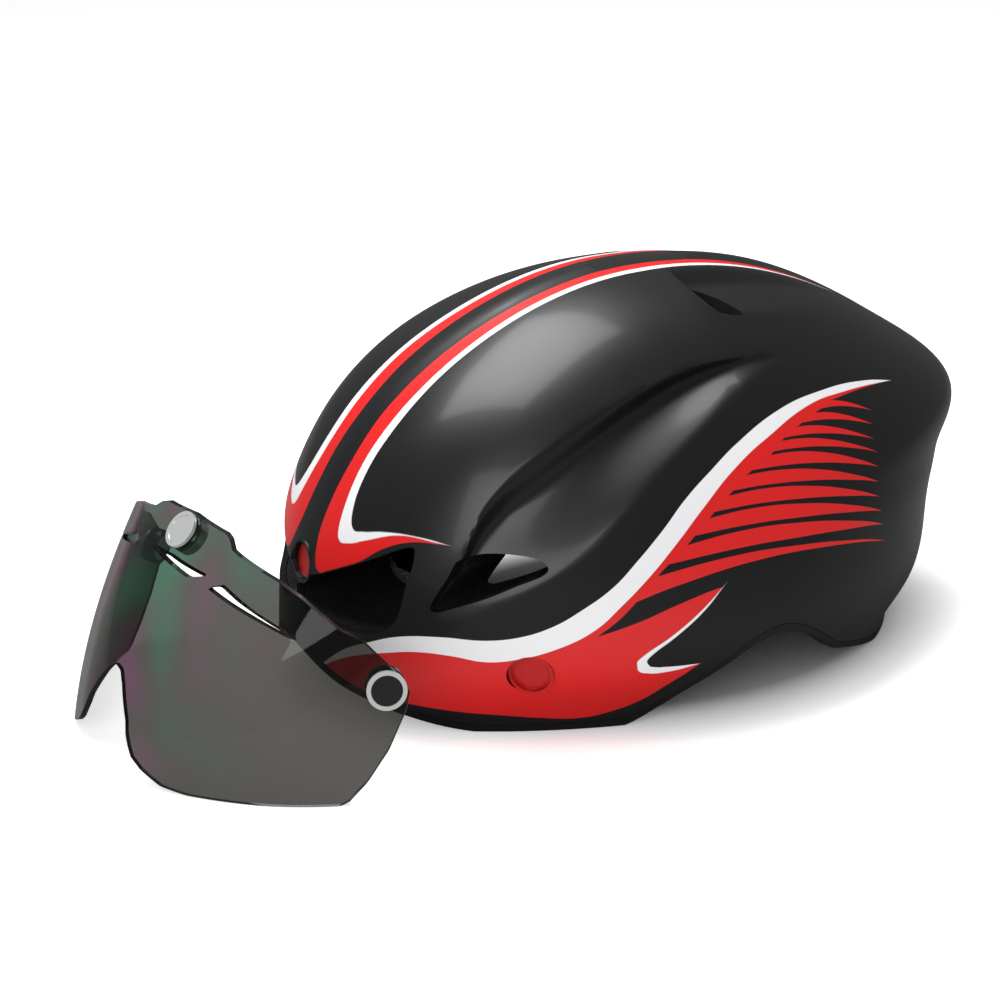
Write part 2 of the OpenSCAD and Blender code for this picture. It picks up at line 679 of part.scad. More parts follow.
// Frame from a point, a side direction and an outward direction
module frame(p, side, out) {
    z = unit(out);
    x = unit(side - (side * z) * z);
    y = cross(z, x);
    multmatrix([[x[0], y[0], z[0], p[0]], [x[1], y[1], z[1], p[1]], [x[2], y[2], z[2], p[2]],
        [0, 0, 0, 1]]) children();
}
function along_wall(angle, z) = hollow_point(angle + 1, z, 0) - hollow_point(angle, z, 0);
function up_wall(angle, z) = hollow_point(angle, z + gap, 0) - hollow_point(angle, z, 0);
module on_wall(angle, z, depth) {
    frame(hollow_point(angle, z, depth), along_wall(angle, z),
        cross(along_wall(angle, z), up_wall(angle, z))) children();
}

// Ribbon through points, with a width direction at each
module ribbon(points, sides, width, thick) {
    last = len(points) - 1;
    loft([for (i = [0:last])
        let (p = points[i], t = unit(points[min(i + 1, last)] - points[max(i - 1, 0)]),
             v = unit(cross(t, sides[i])), w = cross(v, t), a = w * width / 2, b = v * thick / 2)
        [p + a + b, p + a - b, p - a - b, p - a + b]]);
}
function smooth(points, steps) = [for (i = [0:steps]) table_at(points, (len(points) - 1) * i / steps)];
function spread(points, count) = [for (i = [0:count]) let (u = (len(points) - 1) * i / count)
    table_at(points, u)];

// Block with four rounded corners, its middle at the origin
module slab(size, r) {
    cube([size[0] - 2 * r, size[1], size[2]], center = true);
    cube([size[0], size[1] - 2 * r, size[2]], center = true);
    for (x = [-1, 1], y = [-1, 1]) {
        translate([x * (size[0] / 2 - r), y * (size[1] / 2 - r), 0])
            cylinder(r = r, h = size[2], center = true);
    }
}

// Headband from a rack's end round to its clip beside the temple
band_y = dial_y + track_y + rack_t / 2;
band_rise = pitch_r + (rack_back + dedendum) / 2;
function band_points(rise) = concat(
    [[rack_len + 2 * gap, band_y, dial_z + rise], [rack_len + 2 * gap + band_lead, band_y,
        dial_z + rise * 0.9]],
    [for (i = [0:9]) let (a = mix(band_from_angle, band_to_angle, i / 9))
        hollow_point(a, dial_z + (i == 0 ? rise * 0.3 : 0), band_depth)]);
module headband(rise) {
    path = spread(band_points(rise), band_steps);
    ribbon(path, [for (p = path) [0, 0, 1]], band_w, band_t);
}
module headband_left() color("dimgray") headband(band_rise);
module headband_right() color("dimgray") scale([-1, 1, 1]) headband(-band_rise);
module band_anchors() {
    color("dimgray") for (side = [-1, 1]) {
        scale([side, 1, 1]) on_wall(band_clip_angle, dial_z, band_clip_depth) cube(band_clip, center = true);
    }
}
module cradle_posts() {
    top = ceiling(post_x + post_w / 2, dial_y + post_foot_y + post_t / 2, 0) - 0.7 * gap;
    foot = dial_z + housing_half_h + gap;
    color("dimgray") for (side = [-1, 1]) {
        path = smooth([for (t = [0, 0.35, 0.7, 1])
            [side * post_x, dial_y + post_foot_y + post_t * sin(180 * t) / 2, mix(foot, top, t)]], 9);
        ribbon(path, [for (p = path) [1, 0, 0]], post_w, post_t);
    }
}
function nape_rows(thick) = [for (j = [0:6]) [for (i = [0:10])
    let (c = mix(pad_edge_share, 1, pow(max(0, sin(18 * i) * sin(30 * j)), 0.4)))
    [mix(nape_half_w, -nape_half_w, i / 10), dial_y - gap - thick * c,
        dial_z + mix(-nape_half_h, nape_half_h, j / 6)]]];
module nape_pad() color("dimgray") pillow(nape_rows(nape_t), nape_rows(0));

module strap(route, side) {
    places = spread(route, strap_steps);
    path = [for (p = places) hollow_point(p[0], p[1] * helmet_h, p[2] * half_w)];
    last = strap_steps;
    faces = [for (i = [0:last]) let (p = places[i], t = path[min(i + 1, last)] - path[max(i - 1, 0)])
        cross(cross(along_wall(p[0], p[1] * helmet_h), up_wall(p[0], p[1] * helmet_h)), t)];
    color("dimgray") scale([side, 1, 1]) ribbon(path, faces, strap_w, strap_t);
}
module strap_front_left() strap(front_route_share, 1);
module strap_front_right() strap(front_route_share, -1);
module strap_rear_left() strap(rear_route_share, 1);
module strap_rear_right() strap(rear_route_share, -1);
module strap_anchors() {
    color("black") for (side = [-1, 1]) {
        scale([side, 1, 1]) {
            on_wall(front_route_share[0][0], front_anchor_z, anchor_depth) slab(anchor, buckle_round / 2);
            on_wall(rear_anchor_angle, rear_anchor_z, anchor_depth) rotate([0, 0, 90])
                slab(anchor, buckle_round / 2);
        }
    }
}
module strap_divider(side) {
    slot_w = strap_w + 5 * gap;
    color("black") scale([side, 1, 1]) on_wall(divider_angle, divider_z, divider_depth) difference() {
        slab(divider, buckle_round);
        translate([0, divider[1] / 2 - pocket / 2 + over / 2, 0])
            cube([slot_w, pocket + over, 2 * strap_t + 10 * gap], center = true);
        translate([0, -divider[1] / 2 + pocket / 2 - over / 2, 0])
            cube([slot_w + 2 * gap, pocket + over, strap_t + 9 * gap], center = true);
    }
}
module strap_divider_left() strap_divider(1);
module strap_divider_right() strap_divider(-1);

// Chin straps from the dividers down to the buckle on the floor; stations as shares of the way across
chin_in = hollow_point(divider_angle, chin_top_z, divider_depth);
floor_z = strap_t / 2 + floor_gap;
function chin_points(end_x, flat_x) = [
    chin_in,
    hollow_point(divider_angle, 0.85 * chin_top_z, divider_depth),
    hollow_point(divider_angle, 0.7 * chin_top_z, divider_depth),
    [mix(flat_x, chin_in[0], 0.84), mix(buckle_y, chin_in[1], 0.7), 2.4 * floor_z],
    [mix(flat_x, chin_in[0], 0.62), mix(buckle_y, chin_in[1], 0.3), 1.1 * floor_z],
    [mix(flat_x, chin_in[0], 0.3), buckle_y, floor_z],
    [flat_x, buckle_y, 1.1 * floor_z],
    [mix(flat_x, end_x, 0.35), buckle_y, buckle_h / 2],
    [end_x, buckle_y, buckle_h / 2]];
module chin_strap(end_x, flat_x, side) {
    path = spread(chin_points(end_x, flat_x), strap_steps);
    start = along_wall(divider_angle, chin_top_z);
    color("dimgray") scale([side, 1, 1])
        ribbon(path, [for (i = [0:strap_steps]) mix(unit(start), [0, 1, 0], ease(3 * i / strap_steps - 1))],
            strap_w, strap_t);
}
module chin_strap_left() chin_strap(buckle_x + buckle_len / 2 - pocket + gap,
    buckle_x + buckle_len / 2 + pocket + pocket, 1);
plug_back = buckle_len / 2 - buckle_x + gap + plug_base[0];
module chin_strap_right() chin_strap(plug_back - pocket + gap, -keeper_x + keeper[0] + 2 * pocket, -1);
function chin_pad_rows(low, thick) = [for (j = [0:6]) [for (i = [0:8])
    let (c = mix(pad_edge_share, 1, pow(max(0, sin(22.5 * i) * sin(30 * j)), 0.4)))
    [chin_pad_x + mix(-chin_pad_half, chin_pad_half, i / 8),
        buckle_y + mix(-chin_pad_half, chin_pad_half, j / 6),
     low + thick * c]]];
module chin_pad() {
    low = floor_z + strap_t / 2 + gap;
    color("dimgray") pillow(chin_pad_rows(low, 0), chin_pad_rows(low, chin_pad_t));
}

prong_half = prong_y + prong / 2;
module tongue_shape(room) {
    translate([-room, -tongue[1] / 2 - room]) square([tongue[0] + 2 * room, tongue[1] + 2 * room]);
    for (side = [-1, 1]) {
        translate([-room, side * prong_y - prong / 2 - room])
            square([tongue[0] + 2 * room, prong + 2 * room]);
    }
}
module buckle_socket() {
    mouth = buckle_len / 2;
    color("black") translate([buckle_x, buckle_y, buckle_h / 2]) difference() {
        slab([buckle_len, buckle_w, buckle_h], buckle_round);
        translate([-mouth - over, -prong_half - slide_fit, -tongue[2] / 2 - slide_fit])
            cube([tongue[0] + 2 * over, 2 * (prong_half + slide_fit), tongue[2] + 2 * slide_fit]);
        translate([-mouth + tongue[0] / 2, -buckle_w, -tongue[2] / 2])
            cube([tongue[0] / 2 - prong / 2, 2 * buckle_w, tongue[2]]);
        translate([mouth - pocket, -strap_w / 2 - gap, -strap_t / 2 - gap])
            cube([pocket + over, strap_w + 2 * gap, strap_t + 2 * gap]);
    }
}
module buckle_plug() {
    base_x = buckle_x - buckle_len / 2 - gap - plug_base[0] / 2;
    color("black") translate([0, buckle_y, buckle_h / 2]) {
        difference() {
            translate([base_x, 0, 0]) slab(plug_base, buckle_round / 2);
            translate([base_x - plug_base[0] / 2 - over, -strap_w / 2 - gap, -strap_t / 2 - gap])
                cube([pocket + over, strap_w + 2 * gap, strap_t + 2 * gap]);
        }
        translate([base_x + plug_base[0] / 2, 0, -tongue[2] / 2]) linear_extrude(height = tongue[2])
            tongue_shape(0);
        translate([base_x + plug_base[0] / 2 - gap, -prong_half, -tongue[2] / 2])
            cube([2 * gap, 2 * prong_half, tongue[2]]);
    }
}
module strap_keeper() {
    color("black") translate([keeper_x, buckle_y, buckle_h / 2]) difference() {
        cube(keeper, center = true);
        cube([2 * keeper[0], keeper[1] - 2 * keeper_wall, strap_t + 2 * gap], center = true);
    }
}

// A point of the lens at an angle and a height, moved inwards by a depth
function lens_point(angle, z, depth) =
    let (t = z / lens_curve_h)
    [(lens_r - depth) * sin(angle),
     -(lens_depth - depth + lens_foot * (1 - t) + 4 * lens_bow * t * (1 - t)
       + lens_keel * (1 - t) * exp(-pow(angle / keel_angle, 2))) * cos(angle), z];
lens_columns = concat([for (k = [len(column_share) - 1:-1:1]) -column_share[k]], column_share);
function lens_rows(depth) = [for (v = row_share) [for (u = lens_columns)
    lens_point(u * lens_half_angle * lookup(v, rear_edge_share),
        lens_h * mix(lookup(abs(u), low_edge_share), lookup(abs(u), top_edge_share), v), depth)]];
module at_visor() {
    translate([visor_side, visor_ahead, visor_drop]) rotate([0, 0, visor_turn_angle])
        rotate([visor_tilt_angle, 0, 0]) children();
}
module on_lens(angle, z) {
    p = lens_point(angle, z, 0);
    side = lens_point(angle + 1, z, 0) - p;
    frame(p, side, cross(side, lens_point(angle, z + gap, 0) - p)) children();
}
module at_brow_cap() at_visor() on_lens(0, brow_cap_share * lens_h) children();
module at_temple_cap(side) at_visor() on_lens(side * temple_cap_angle, temple_cap_share * lens_h) children();
module lens_slot(corners) {
    hull() {
        for (c = corners) {
            on_lens(c[0], c[1] * lens_h) cylinder(r = slot_round, h = slot_reach, center = true, $fn = 12);
        }
    }
}
module visor_lens() {
    color("slategray") at_visor() difference() {
        pillow(lens_rows(lens_t), lens_rows(0));
        lens_slot(middle_slot_share);
        lens_slot(side_slot_share);
        scale([-1, 1, 1]) lens_slot(side_slot_share);
        on_lens(0, brow_cap_share * lens_h) cylinder(r = stem_hole_r, h = slot_reach, center = true);
        for (side = [-1, 1]) {
            on_lens(side * temple_cap_angle, temple_cap_share * lens_h)
                cylinder(r = stem_hole_r, h = slot_reach, center = true);
        }
    }
}

// Cap: a puck inside the lens that sits in a seat cup, a stem through the lens and a head on its outside
module cap() {
    back = -lens_t - seat_off - cap_h;
    difference() {
        union() {
            translate([0, 0, back]) cylinder(r = cap_r, h = cap_h);
            translate([0, 0, back]) cylinder(r = stem_r, h = head_h + gap - back);
            translate([0, 0, gap]) cylinder(r = head_r, h = head_h);
        }
        translate([0, 0, back - over]) cylinder(r = visor_magnet_r + run_fit, h =
            visor_magnet_t + run_fit + over);
    }
}
module cap_ring() {
    translate([0, 0, gap]) difference() {
        cylinder(r = cap_r, h = ring_h);
        translate([0, 0, -over]) cylinder(r = head_r + run_fit, h = ring_h + 2 * over);
    }
}
module cap_magnet() translate([0, 0, -lens_t - seat_off - cap_h])
    cylinder(r = visor_magnet_r, h = visor_magnet_t);
module brow_cap() color("silver") at_brow_cap() cap();
module temple_cap_left() color("black") at_temple_cap(1) cap();
module temple_cap_right() color("black") at_temple_cap(-1) cap();
module cap_rings() {
    color("silver") {
        at_brow_cap() cap_ring();
        at_temple_cap(1) cap_ring();
        at_temple_cap(-1) cap_ring();
    }
}
module visor_magnets() {
    color("gray") {
        at_brow_cap() cap_magnet();
        at_temple_cap(1) cap_magnet();
        at_temple_cap(-1) cap_magnet();
    }
}

outer_shell();
rim_trim();
foam_liner();
front_pad();
crown_pads();
side_pad_left();
side_pad_right();
front_seat_cup();
left_seat_cup();
right_seat_cup();
seat_magnets();
dial_housing();
dial_cover();
dial_pinion();
dial_knob();
dial_screw();
click_spring();
rack_left();
rack_right();
headband_left();
headband_right();
band_anchors();
cradle_posts();
nape_pad();
strap_anchors();
strap_front_left();
strap_rear_left();
strap_front_right();
strap_rear_right();
strap_divider_left();
strap_divider_right();
chin_strap_left();
chin_strap_right();
chin_pad();
buckle_socket();
buckle_plug();
strap_keeper();
visor_lens();
brow_cap();
temple_cap_left();
temple_cap_right();
cap_rings();
visor_magnets();
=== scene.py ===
import json
import math

import bmesh
import bpy
import numpy as np
from mathutils import Matrix, Vector


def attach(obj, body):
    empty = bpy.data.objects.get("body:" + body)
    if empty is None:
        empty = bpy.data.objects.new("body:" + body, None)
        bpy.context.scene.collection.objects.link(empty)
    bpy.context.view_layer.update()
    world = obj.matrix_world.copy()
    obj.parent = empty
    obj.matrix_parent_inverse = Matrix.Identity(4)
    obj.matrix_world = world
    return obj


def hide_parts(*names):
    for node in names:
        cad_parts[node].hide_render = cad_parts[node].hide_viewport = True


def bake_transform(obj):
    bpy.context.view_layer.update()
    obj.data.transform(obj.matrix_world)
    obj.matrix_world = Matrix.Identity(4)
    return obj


bl_info = {
    "name": "Time Trial Helmet",
    "version": (1, 0, 0),
    "blender": (4, 5, 0),
    "location": "3D View > Sidebar > Helmet",
    "description": "Dresses an aero cycling helmet and its loose visor for a studio picture",
    "category": "Add Mesh",
}

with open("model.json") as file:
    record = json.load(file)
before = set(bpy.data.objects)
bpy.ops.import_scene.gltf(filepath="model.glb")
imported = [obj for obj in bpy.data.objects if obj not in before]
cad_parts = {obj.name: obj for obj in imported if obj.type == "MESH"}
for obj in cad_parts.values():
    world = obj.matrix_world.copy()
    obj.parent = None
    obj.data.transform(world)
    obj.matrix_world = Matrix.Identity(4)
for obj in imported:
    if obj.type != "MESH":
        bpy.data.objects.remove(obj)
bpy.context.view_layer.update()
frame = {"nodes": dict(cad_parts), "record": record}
NODES = frame["nodes"]
MM = 0.001

# Shell and cavity in millimetres; each table of levels holds shares at even heights from floor to crown
HEIGHT, FRONT, REAR, HALF = 148.0, 142.0, 160.0, 102.0
FRONT_LEVELS = [1.01, 1, 1.02, 1, 0.96, 0.9]
REAR_LEVELS = [0.71, 0.77, 0.82, 1.01, 0.96, 0.9]
SIDE_LEVELS = [0.82, 0.965, 0.995, 1, 1, 1]
CENTRE_LEVELS = [0.01, 0.055, 0.03]
CAVITY_FRONT, CAVITY_REAR, CAVITY_HALF, CAVITY_TOP = 104.0, 112.0, 82.0, 121.0
CAVITY_LEVELS = [0.84, 0.97, 1, 1, 1, 1]
# Rim's height as shares, at even steps round from the front
RIM_LEVELS, RIM_STEP = [0.165, 0.09, 0, 0, 0.23, 0.09, 0, 0, 0.02], 22.5
# Powers that round the crown off, and the power of the cavity's plan
FRONT_ROUND, REAR_ROUND, SIDE_ROUND, CAVITY_ROUND, CAVITY_SQUARE = 2.95, 2.6, 2.4, 2.5, 2.2
# Skin, edge strip and its gap under the walls
SKIN, EDGE_H, EDGE_W, EDGE_GAP = 2.4, 3.2, 6.0, 0.2
# Side scoop: its two ends, its depth, its floor's place across, and its edges as shares of the height
SCOOP_START, SCOOP_END, SCOOP_DEPTH, SCOOP_FLOOR = -0.815 * FRONT, 0.2125 * REAR, 9.5, 0.6
SCOOP_TOP = [0.34, 0.598, 0.723, 0.79, 0.831, 0.841, 0.83]
SCOOP_FOOT = [0.297, 0.382, 0.483, 0.617, 0.713, 0.79, 0.815]
# Crown channel: its lip's place and sweep, its length, its depth and its crease's place across
LIP_Y, LIP_SWEEP, LIP_STRAIGHT = 7.3, 0.0066, 17
CHANNEL_LENGTH, CHANNEL_DEPTH, CHANNEL_CREASE, CHANNEL_LEAST = 78, 4.4, 0.32, 3
# Its inner edge and how that drifts, its outer edge and how that sweeps in behind its straight part
INNER_X, INNER_DRIFT, OUTER_X, OUTER_SWEEP, OUTER_STRAIGHT = 15.5, 0.05, 42.8, 0.0043, 15
# Hollows above and below the tail's edge: depth, height and spread
TAIL_HOLLOWS = [(3.2, 120, 19), (4.6, 74, 8.5)]
RIDGE_H, RIDGE_SPREAD = 0.9, 5.5
DIAL_Y, DIAL_Z = 76.0, 38.0


# Forms
def curve_at(table, place):
    """Smooth curve through a table's rows, at places counted in rows."""
    t = np.asarray(table, float)
    n = len(t) - 1
    u = np.clip(np.asarray(place, float), 0, n)
    k = np.minimum(np.floor(u).astype(int), n - 1)
    f = (u - k).reshape(u.shape + (1,) * (t.ndim - 1))
    a = np.where((k > 0).reshape(f.shape), t[np.maximum(k - 1, 0)], t[1])
    d = np.where((k + 2 <= n).reshape(f.shape), t[np.minimum(k + 2, n)], t[n - 1])
    b, c = t[k], t[k + 1]
    return 0.5 * (2 * b + (c - a) * f + (2 * a - 5 * b + 4 * c - d) * f**2 + (3 * b - a - 3 * c + d) * f**3)


def smooth_line(points, steps):
    return curve_at(points, np.linspace(0, len(points) - 1, steps))


def smooth_ring(points, steps):
    p = np.asarray(points, float)
    p = np.concatenate([p[-2:], p, p[:3]])
    return curve_at(p, np.linspace(2, len(points) + 2, steps, endpoint=False))


def ramp(t):
    t = np.clip(t, 0, 1)
    return t * t * (3 - 2 * t)


def plan(angle, ahead, behind, side, centre, square_front, square_rear):
    """Point of a rounded plan: its reach ahead, behind and to the side, its centre and its two powers."""
    c, s = np.cos(np.radians(angle)), np.sin(np.radians(angle))
    n = np.where(c > 0, square_front, square_rear)
    x = np.sign(s) * side * np.abs(s) ** (2 / n)
    y = centre - np.sign(c) * np.where(c > 0, ahead, behind) * np.abs(c) ** (2 / n)
    return x, y


def scoop_dent(y, z):
    """Air scoop along the side: its wall turns in over a soft floor, its slope below ends at a lip."""
    s = (y - SCOOP_START) / (SCOOP_END - SCOOP_START)
    top, foot = (HEIGHT * curve_at(edge, (len(edge) - 1) * s) for edge in (SCOOP_TOP, SCOOP_FOOT))
    v = (z - foot) / (top - foot)
    slope = np.clip(v / SCOOP_FLOOR, 0, 1)
    wall = np.clip((v - SCOOP_FLOOR) / (1 - SCOOP_FLOOR), 0, 1)
    across = 0.5 * (1 - (1 - slope) ** 1.6 + ramp(slope)) - 0.6 * wall**1.3 - 0.4 * ramp(wall)
    return np.where((s > 0) & (s < 1), SCOOP_DEPTH * across * ramp(4.4 * s) * ramp(2.6 * (1 - s)), 0)


def lip_at(x):
    """Front edge of the crown channel: nearly straight, swept back at its outer end."""
    return LIP_Y + LIP_SWEEP * np.maximum(np.abs(x) - LIP_STRAIGHT, 0) ** 2


def channel_dent(x, y):
    """Recess behind each crown exhaust: a step at its front, a crease, and a slope out to its edge."""
    s = (y - lip_at(x)) / CHANNEL_LENGTH
    inner, outer = INNER_X - INNER_DRIFT * y, OUTER_X - OUTER_SWEEP * np.maximum(y - OUTER_STRAIGHT, 0) ** 2
    w = (np.abs(x) - inner) / np.maximum(outer - inner, CHANNEL_LEAST)
    across = ramp(w / CHANNEL_CREASE) - np.clip((w - CHANNEL_CREASE) / (1 - CHANNEL_CREASE), 0, 1) ** 1.4
    along = ramp(26 * s) * (1 - np.clip(s, 0, 1)) ** 1.2
    return np.where((s > 0) & (s < 1) & (w > 0) & (w < 1), CHANNEL_DEPTH * along * across, 0)


def crown_ridge(x, y, z):
    """Low ridge along the middle, between the stripes."""
    return RIDGE_H * np.exp(-((x / RIDGE_SPREAD) ** 2)) * ramp((z - 58) / 30) * ramp((105 - y) / 60)


def tail_hollow(z):
    """Hollows above and below the tail's sharp edge."""
    return sum(deep * np.exp(-(((z - middle) / spread) ** 2)) for deep, middle, spread in TAIL_HOLLOWS)


def shell_at(angle, z, depth=0.0, dents=True):
    """Point of the shell at an angle round it and a height, at a depth under its skin."""
    angle, z = np.broadcast_arrays(np.asarray(angle, float), np.asarray(z, float))
    t = np.minimum(z / (HEIGHT - depth), 1)
    front, rear, side = (curve_at(levels, 5 * t) for levels in (FRONT_LEVELS, REAR_LEVELS, SIDE_LEVELS))
    x, y = plan(angle, (FRONT * front - depth) * np.sqrt(1 - t**FRONT_ROUND),
                (REAR * rear - tail_hollow(z) - depth) * np.sqrt(1 - t**REAR_ROUND),
                (HALF * side - depth) * np.sqrt(1 - t**SIDE_ROUND),
                REAR * curve_at(CENTRE_LEVELS, 2 * t), 1.65 + 1.45 * t, 1.95 - 0.35 * t)
    if dents:
        x = x - np.sign(x) * np.minimum(scoop_dent(y, z), np.abs(x) / 2)
        z = z - channel_dent(x, y)
    return np.stack([x, y, z], -1)


def hollow_at(angle, z, depth=0.0):
    """Point of the head cavity's wall, at a depth in front of it."""
    angle, z = np.broadcast_arrays(np.asarray(angle, float), np.asarray(z, float))
    t = np.minimum(z / (CAVITY_TOP - depth), 1)
    k, r = curve_at(CAVITY_LEVELS, 5 * t), np.sqrt(1 - t**CAVITY_ROUND)
    x, y = plan(angle, (CAVITY_FRONT * k - depth) * r, (CAVITY_REAR * k - depth) * r,
                (CAVITY_HALF * k - depth) * r, 0, CAVITY_SQUARE, CAVITY_SQUARE)
    return np.stack([x, y, z], -1)


def rim_at(angle):
    a = np.abs((np.asarray(angle, float) + 180) % 360 - 180)
    return HEIGHT * np.maximum(0, curve_at(RIM_LEVELS, a / RIM_STEP))


def around(x, y):
    """Angle round the helmet seen from above, front 0, rear 180."""
    return np.degrees(np.arctan2(np.abs(x) / HALF, -y / FRONT))


# Meshes
def clear_selection():
    bpy.ops.object.select_all(action="DESELECT")


def finish_mesh(name, verts, faces, outward=True):
    """Mesh object in metres from points in millimetres."""
    mesh = bpy.data.meshes.new(name)
    mesh.from_pydata([tuple(map(float, v)) for v in np.asarray(verts) * MM], [], faces)
    mesh.validate()
    obj = bpy.data.objects.new(name, mesh)
    bpy.context.scene.collection.objects.link(obj)
    if outward:
        bm = bmesh.new()
        bm.from_mesh(mesh)
        bmesh.ops.recalc_face_normals(bm, faces=bm.faces)
        bm.to_mesh(mesh)
        bm.free()
    return obj


def use(obj):
    clear_selection()
    obj.select_set(True)
    bpy.context.view_layer.objects.active = obj


def shade(obj, angle=40):
    use(obj)
    bpy.ops.object.shade_smooth_by_angle(angle=math.radians(angle), keep_sharp_edges=False)
    clear_selection()


def modify(obj, kind, **settings):
    use(obj)
    mod = obj.modifiers.new(kind.title(), kind)
    for key, value in settings.items():
        setattr(mod, key, value)
    bpy.ops.object.modifier_apply(modifier=mod.name)
    clear_selection()


def carve(obj, cutters):
    for cutter in cutters:
        for material in obj.data.materials:
            cutter.data.materials.append(material)
        for poly in cutter.data.polygons:
            poly.material_index = max(0, len(obj.data.materials) - 1)
        modify(obj, "BOOLEAN", operation="DIFFERENCE", solver="EXACT", object=cutter)
    for cutter in cutters:
        bpy.data.objects.remove(cutter, do_unlink=True)


def grid_faces(columns, rows, start=0, closed=True):
    faces = []
    for j in range(rows - 1):
        for i in range(columns if closed else columns - 1):
            k = (i + 1) % columns
            a = start + j * columns
            faces.append((a + i, a + k, a + columns + k, a + columns + i))
    return faces


def fans(n, first, first_hub, second):
    """Fans that close the two ends of a tube of n columns."""
    return ([(first + i, first_hub, first + (i + 1) % n) for i in range(n)]
            + [(second + (i + 1) % n, first_hub + 1, second + i) for i in range(n)])


def thick_dome(name, outer, inner, fine, coarse, outer_rows, inner_rows, tops):
    """Closed wall between an outer and an inner surface, joined at the rim; the outer skin is material 0."""
    def rows_of(surface, columns, rows, top):
        angles = np.arange(columns) * 360 / columns
        low = rim_at(angles) + EDGE_H + EDGE_GAP
        return [surface(angles, low + (top - low) * math.sin(math.pi / 2 * j / rows)) for j in range(rows)]

    skin = rows_of(outer, fine, outer_rows, tops[0])
    lining = rows_of(inner, coarse, inner_rows, tops[1])
    hubs = [[0, surface(0, top)[1], top] for surface, top in ((outer, tops[0]), (inner, tops[1]))]
    verts = np.concatenate(skin + lining + [hubs])
    m = fine * outer_rows
    faces = grid_faces(fine, outer_rows) + [f[::-1] for f in grid_faces(coarse, inner_rows, m)]
    crown, ceiling = len(verts) - 2, len(verts) - 1
    for i in range(fine):
        faces.append((m - fine + i, m - fine + (i + 1) % fine, crown))
    last = m + coarse * (inner_rows - 1)
    for i in range(coarse):
        faces.append((last + (i + 1) % coarse, last + i, ceiling))
    step = fine // coarse
    for i in range(coarse):
        k = (i + 1) % coarse
        for j in range(step):
            a, b = (i * step + j) % fine, (i * step + j + 1) % fine
            faces.append((b, a, m + (i if j < step / 2 else k)))
        faces.append((m + i, m + k, (i * step + (step + 1) // 2) % fine))
    obj = finish_mesh(name, verts, faces)
    walls = fine * (outer_rows - 1)
    caps = walls + coarse * (inner_rows - 1)
    for poly in obj.data.polygons:
        poly.material_index = 0 if poly.index < walls or caps <= poly.index < caps + fine else 1
    return obj


def slab_faces(columns, rows):
    """Faces of a slab: a grid of points above, the same grid below, and its four sides."""
    s = columns * rows
    faces = grid_faces(columns, rows, 0, False) + [f[::-1] for f in grid_faces(columns, rows, s, False)]
    for i in range(columns - 1):
        a = s - columns + i
        faces += [(i + 1, i, s + i, s + i + 1), (a, a + 1, s + a + 1, s + a)]
    for j in range(rows - 1):
        a, b = j * columns, (j + 1) * columns
        c, d = a + columns - 1, b + columns - 1
        faces += [(a, b, s + b, s + a), (d, c, s + c, s + d)]
    return faces


def tapered_cutter(name, ring, aim, out=0.3, deep=0.8, shrink=0.9):
    """Cutter from a ring of points on the shell, running inwards to a point."""
    ring, aim = np.asarray(ring, float), np.asarray(aim, float)
    middle = ring.mean(0)
    near = ring + (ring - aim) * out
    far = middle + (ring - middle) * shrink
    far = far + (aim - middle) * deep
    n = len(ring)
    faces = grid_faces(n, 2) + fans(n, 0, 2 * n, n)
    return finish_mesh(name, np.concatenate([near, far, [near.mean(0), far.mean(0)]]), faces)


def mirrored(obj):
    copy = obj.copy()
    copy.data = obj.data.copy()
    bpy.context.scene.collection.objects.link(copy)
    copy.data.transform(Matrix.Scale(-1, 4, (1, 0, 0)))
    copy.data.flip_normals()
    return copy


# Vents: outlines in degrees round the shell and millimetres up, and the point that each one runs in to
BROW_VENT = [(2.5, 49), (8, 52.5), (18, 61.5), (25.5, 68.5), (27.3, 66), (27.3, 57), (26.6, 47), (23, 41),
             (15, 39.5), (5, 41)]
TEMPLE_VENT = [(36.5, 54), (37.8, 61), (40.5, 66.5), (44.5, 69), (49.5, 69.3), (52.5, 68.6), (53.5, 66.5),
               (52.3, 64.3), (49, 61.5), (45, 57.8), (40.5, 54.3), (37.8, 52.6)]
REAR_PORT = [(152, 60), (165, 60), (166, 66), (164, 71), (153, 71), (150.5, 66)]
BROW_AIM, TEMPLE_AIM, PORT_AIM = (22, -57, 58), (44, -50, 60), (22, 64, 62)
# Crown exhaust: a ring of points under the lip in front of its channel, and the point that it runs in to
EXHAUST = [(20, 8, 143), (30, 9.2, 140), (38, 10.9, 136.5), (41.8, 12.3, 134.5), (42.6, 20.6, 132.5),
           (36, 18.8, 134.5), (29, 15.5, 137), (23, 11.5, 140)]
EXHAUST_AIM = (30, -14, 88)


def vent_cutter(name, outline, aim, steps):
    ring = smooth_ring(outline, steps)
    return tapered_cutter(name, shell_at(ring[:, 0], ring[:, 1]), aim)


def air_cutters():
    """Cutters of all the vents on the left, each with its mirror image."""
    exhaust = tapered_cutter("exhaust", smooth_ring(EXHAUST, 40), EXHAUST_AIM, out=0.12, deep=0.9, shrink=0.8)
    left = [vent_cutter("brow", BROW_VENT, BROW_AIM, 56), vent_cutter("temple", TEMPLE_VENT, TEMPLE_AIM, 56),
            exhaust, vent_cutter("port", REAR_PORT, PORT_AIM, 32)]
    return [cutter for one in left for cutter in (one, mirrored(one))]


def round_cutter(name, place, axis, radius, length):
    bpy.ops.mesh.primitive_cylinder_add(vertices=64, radius=radius * MM, depth=length * MM)
    obj = bpy.context.active_object
    obj.name = name
    turn = Vector((0, 0, 1)).rotation_difference(Vector(axis))
    obj.data.transform(Matrix.Translation(Vector(place) * MM) @ turn.to_matrix().to_4x4())
    clear_selection()
    return obj


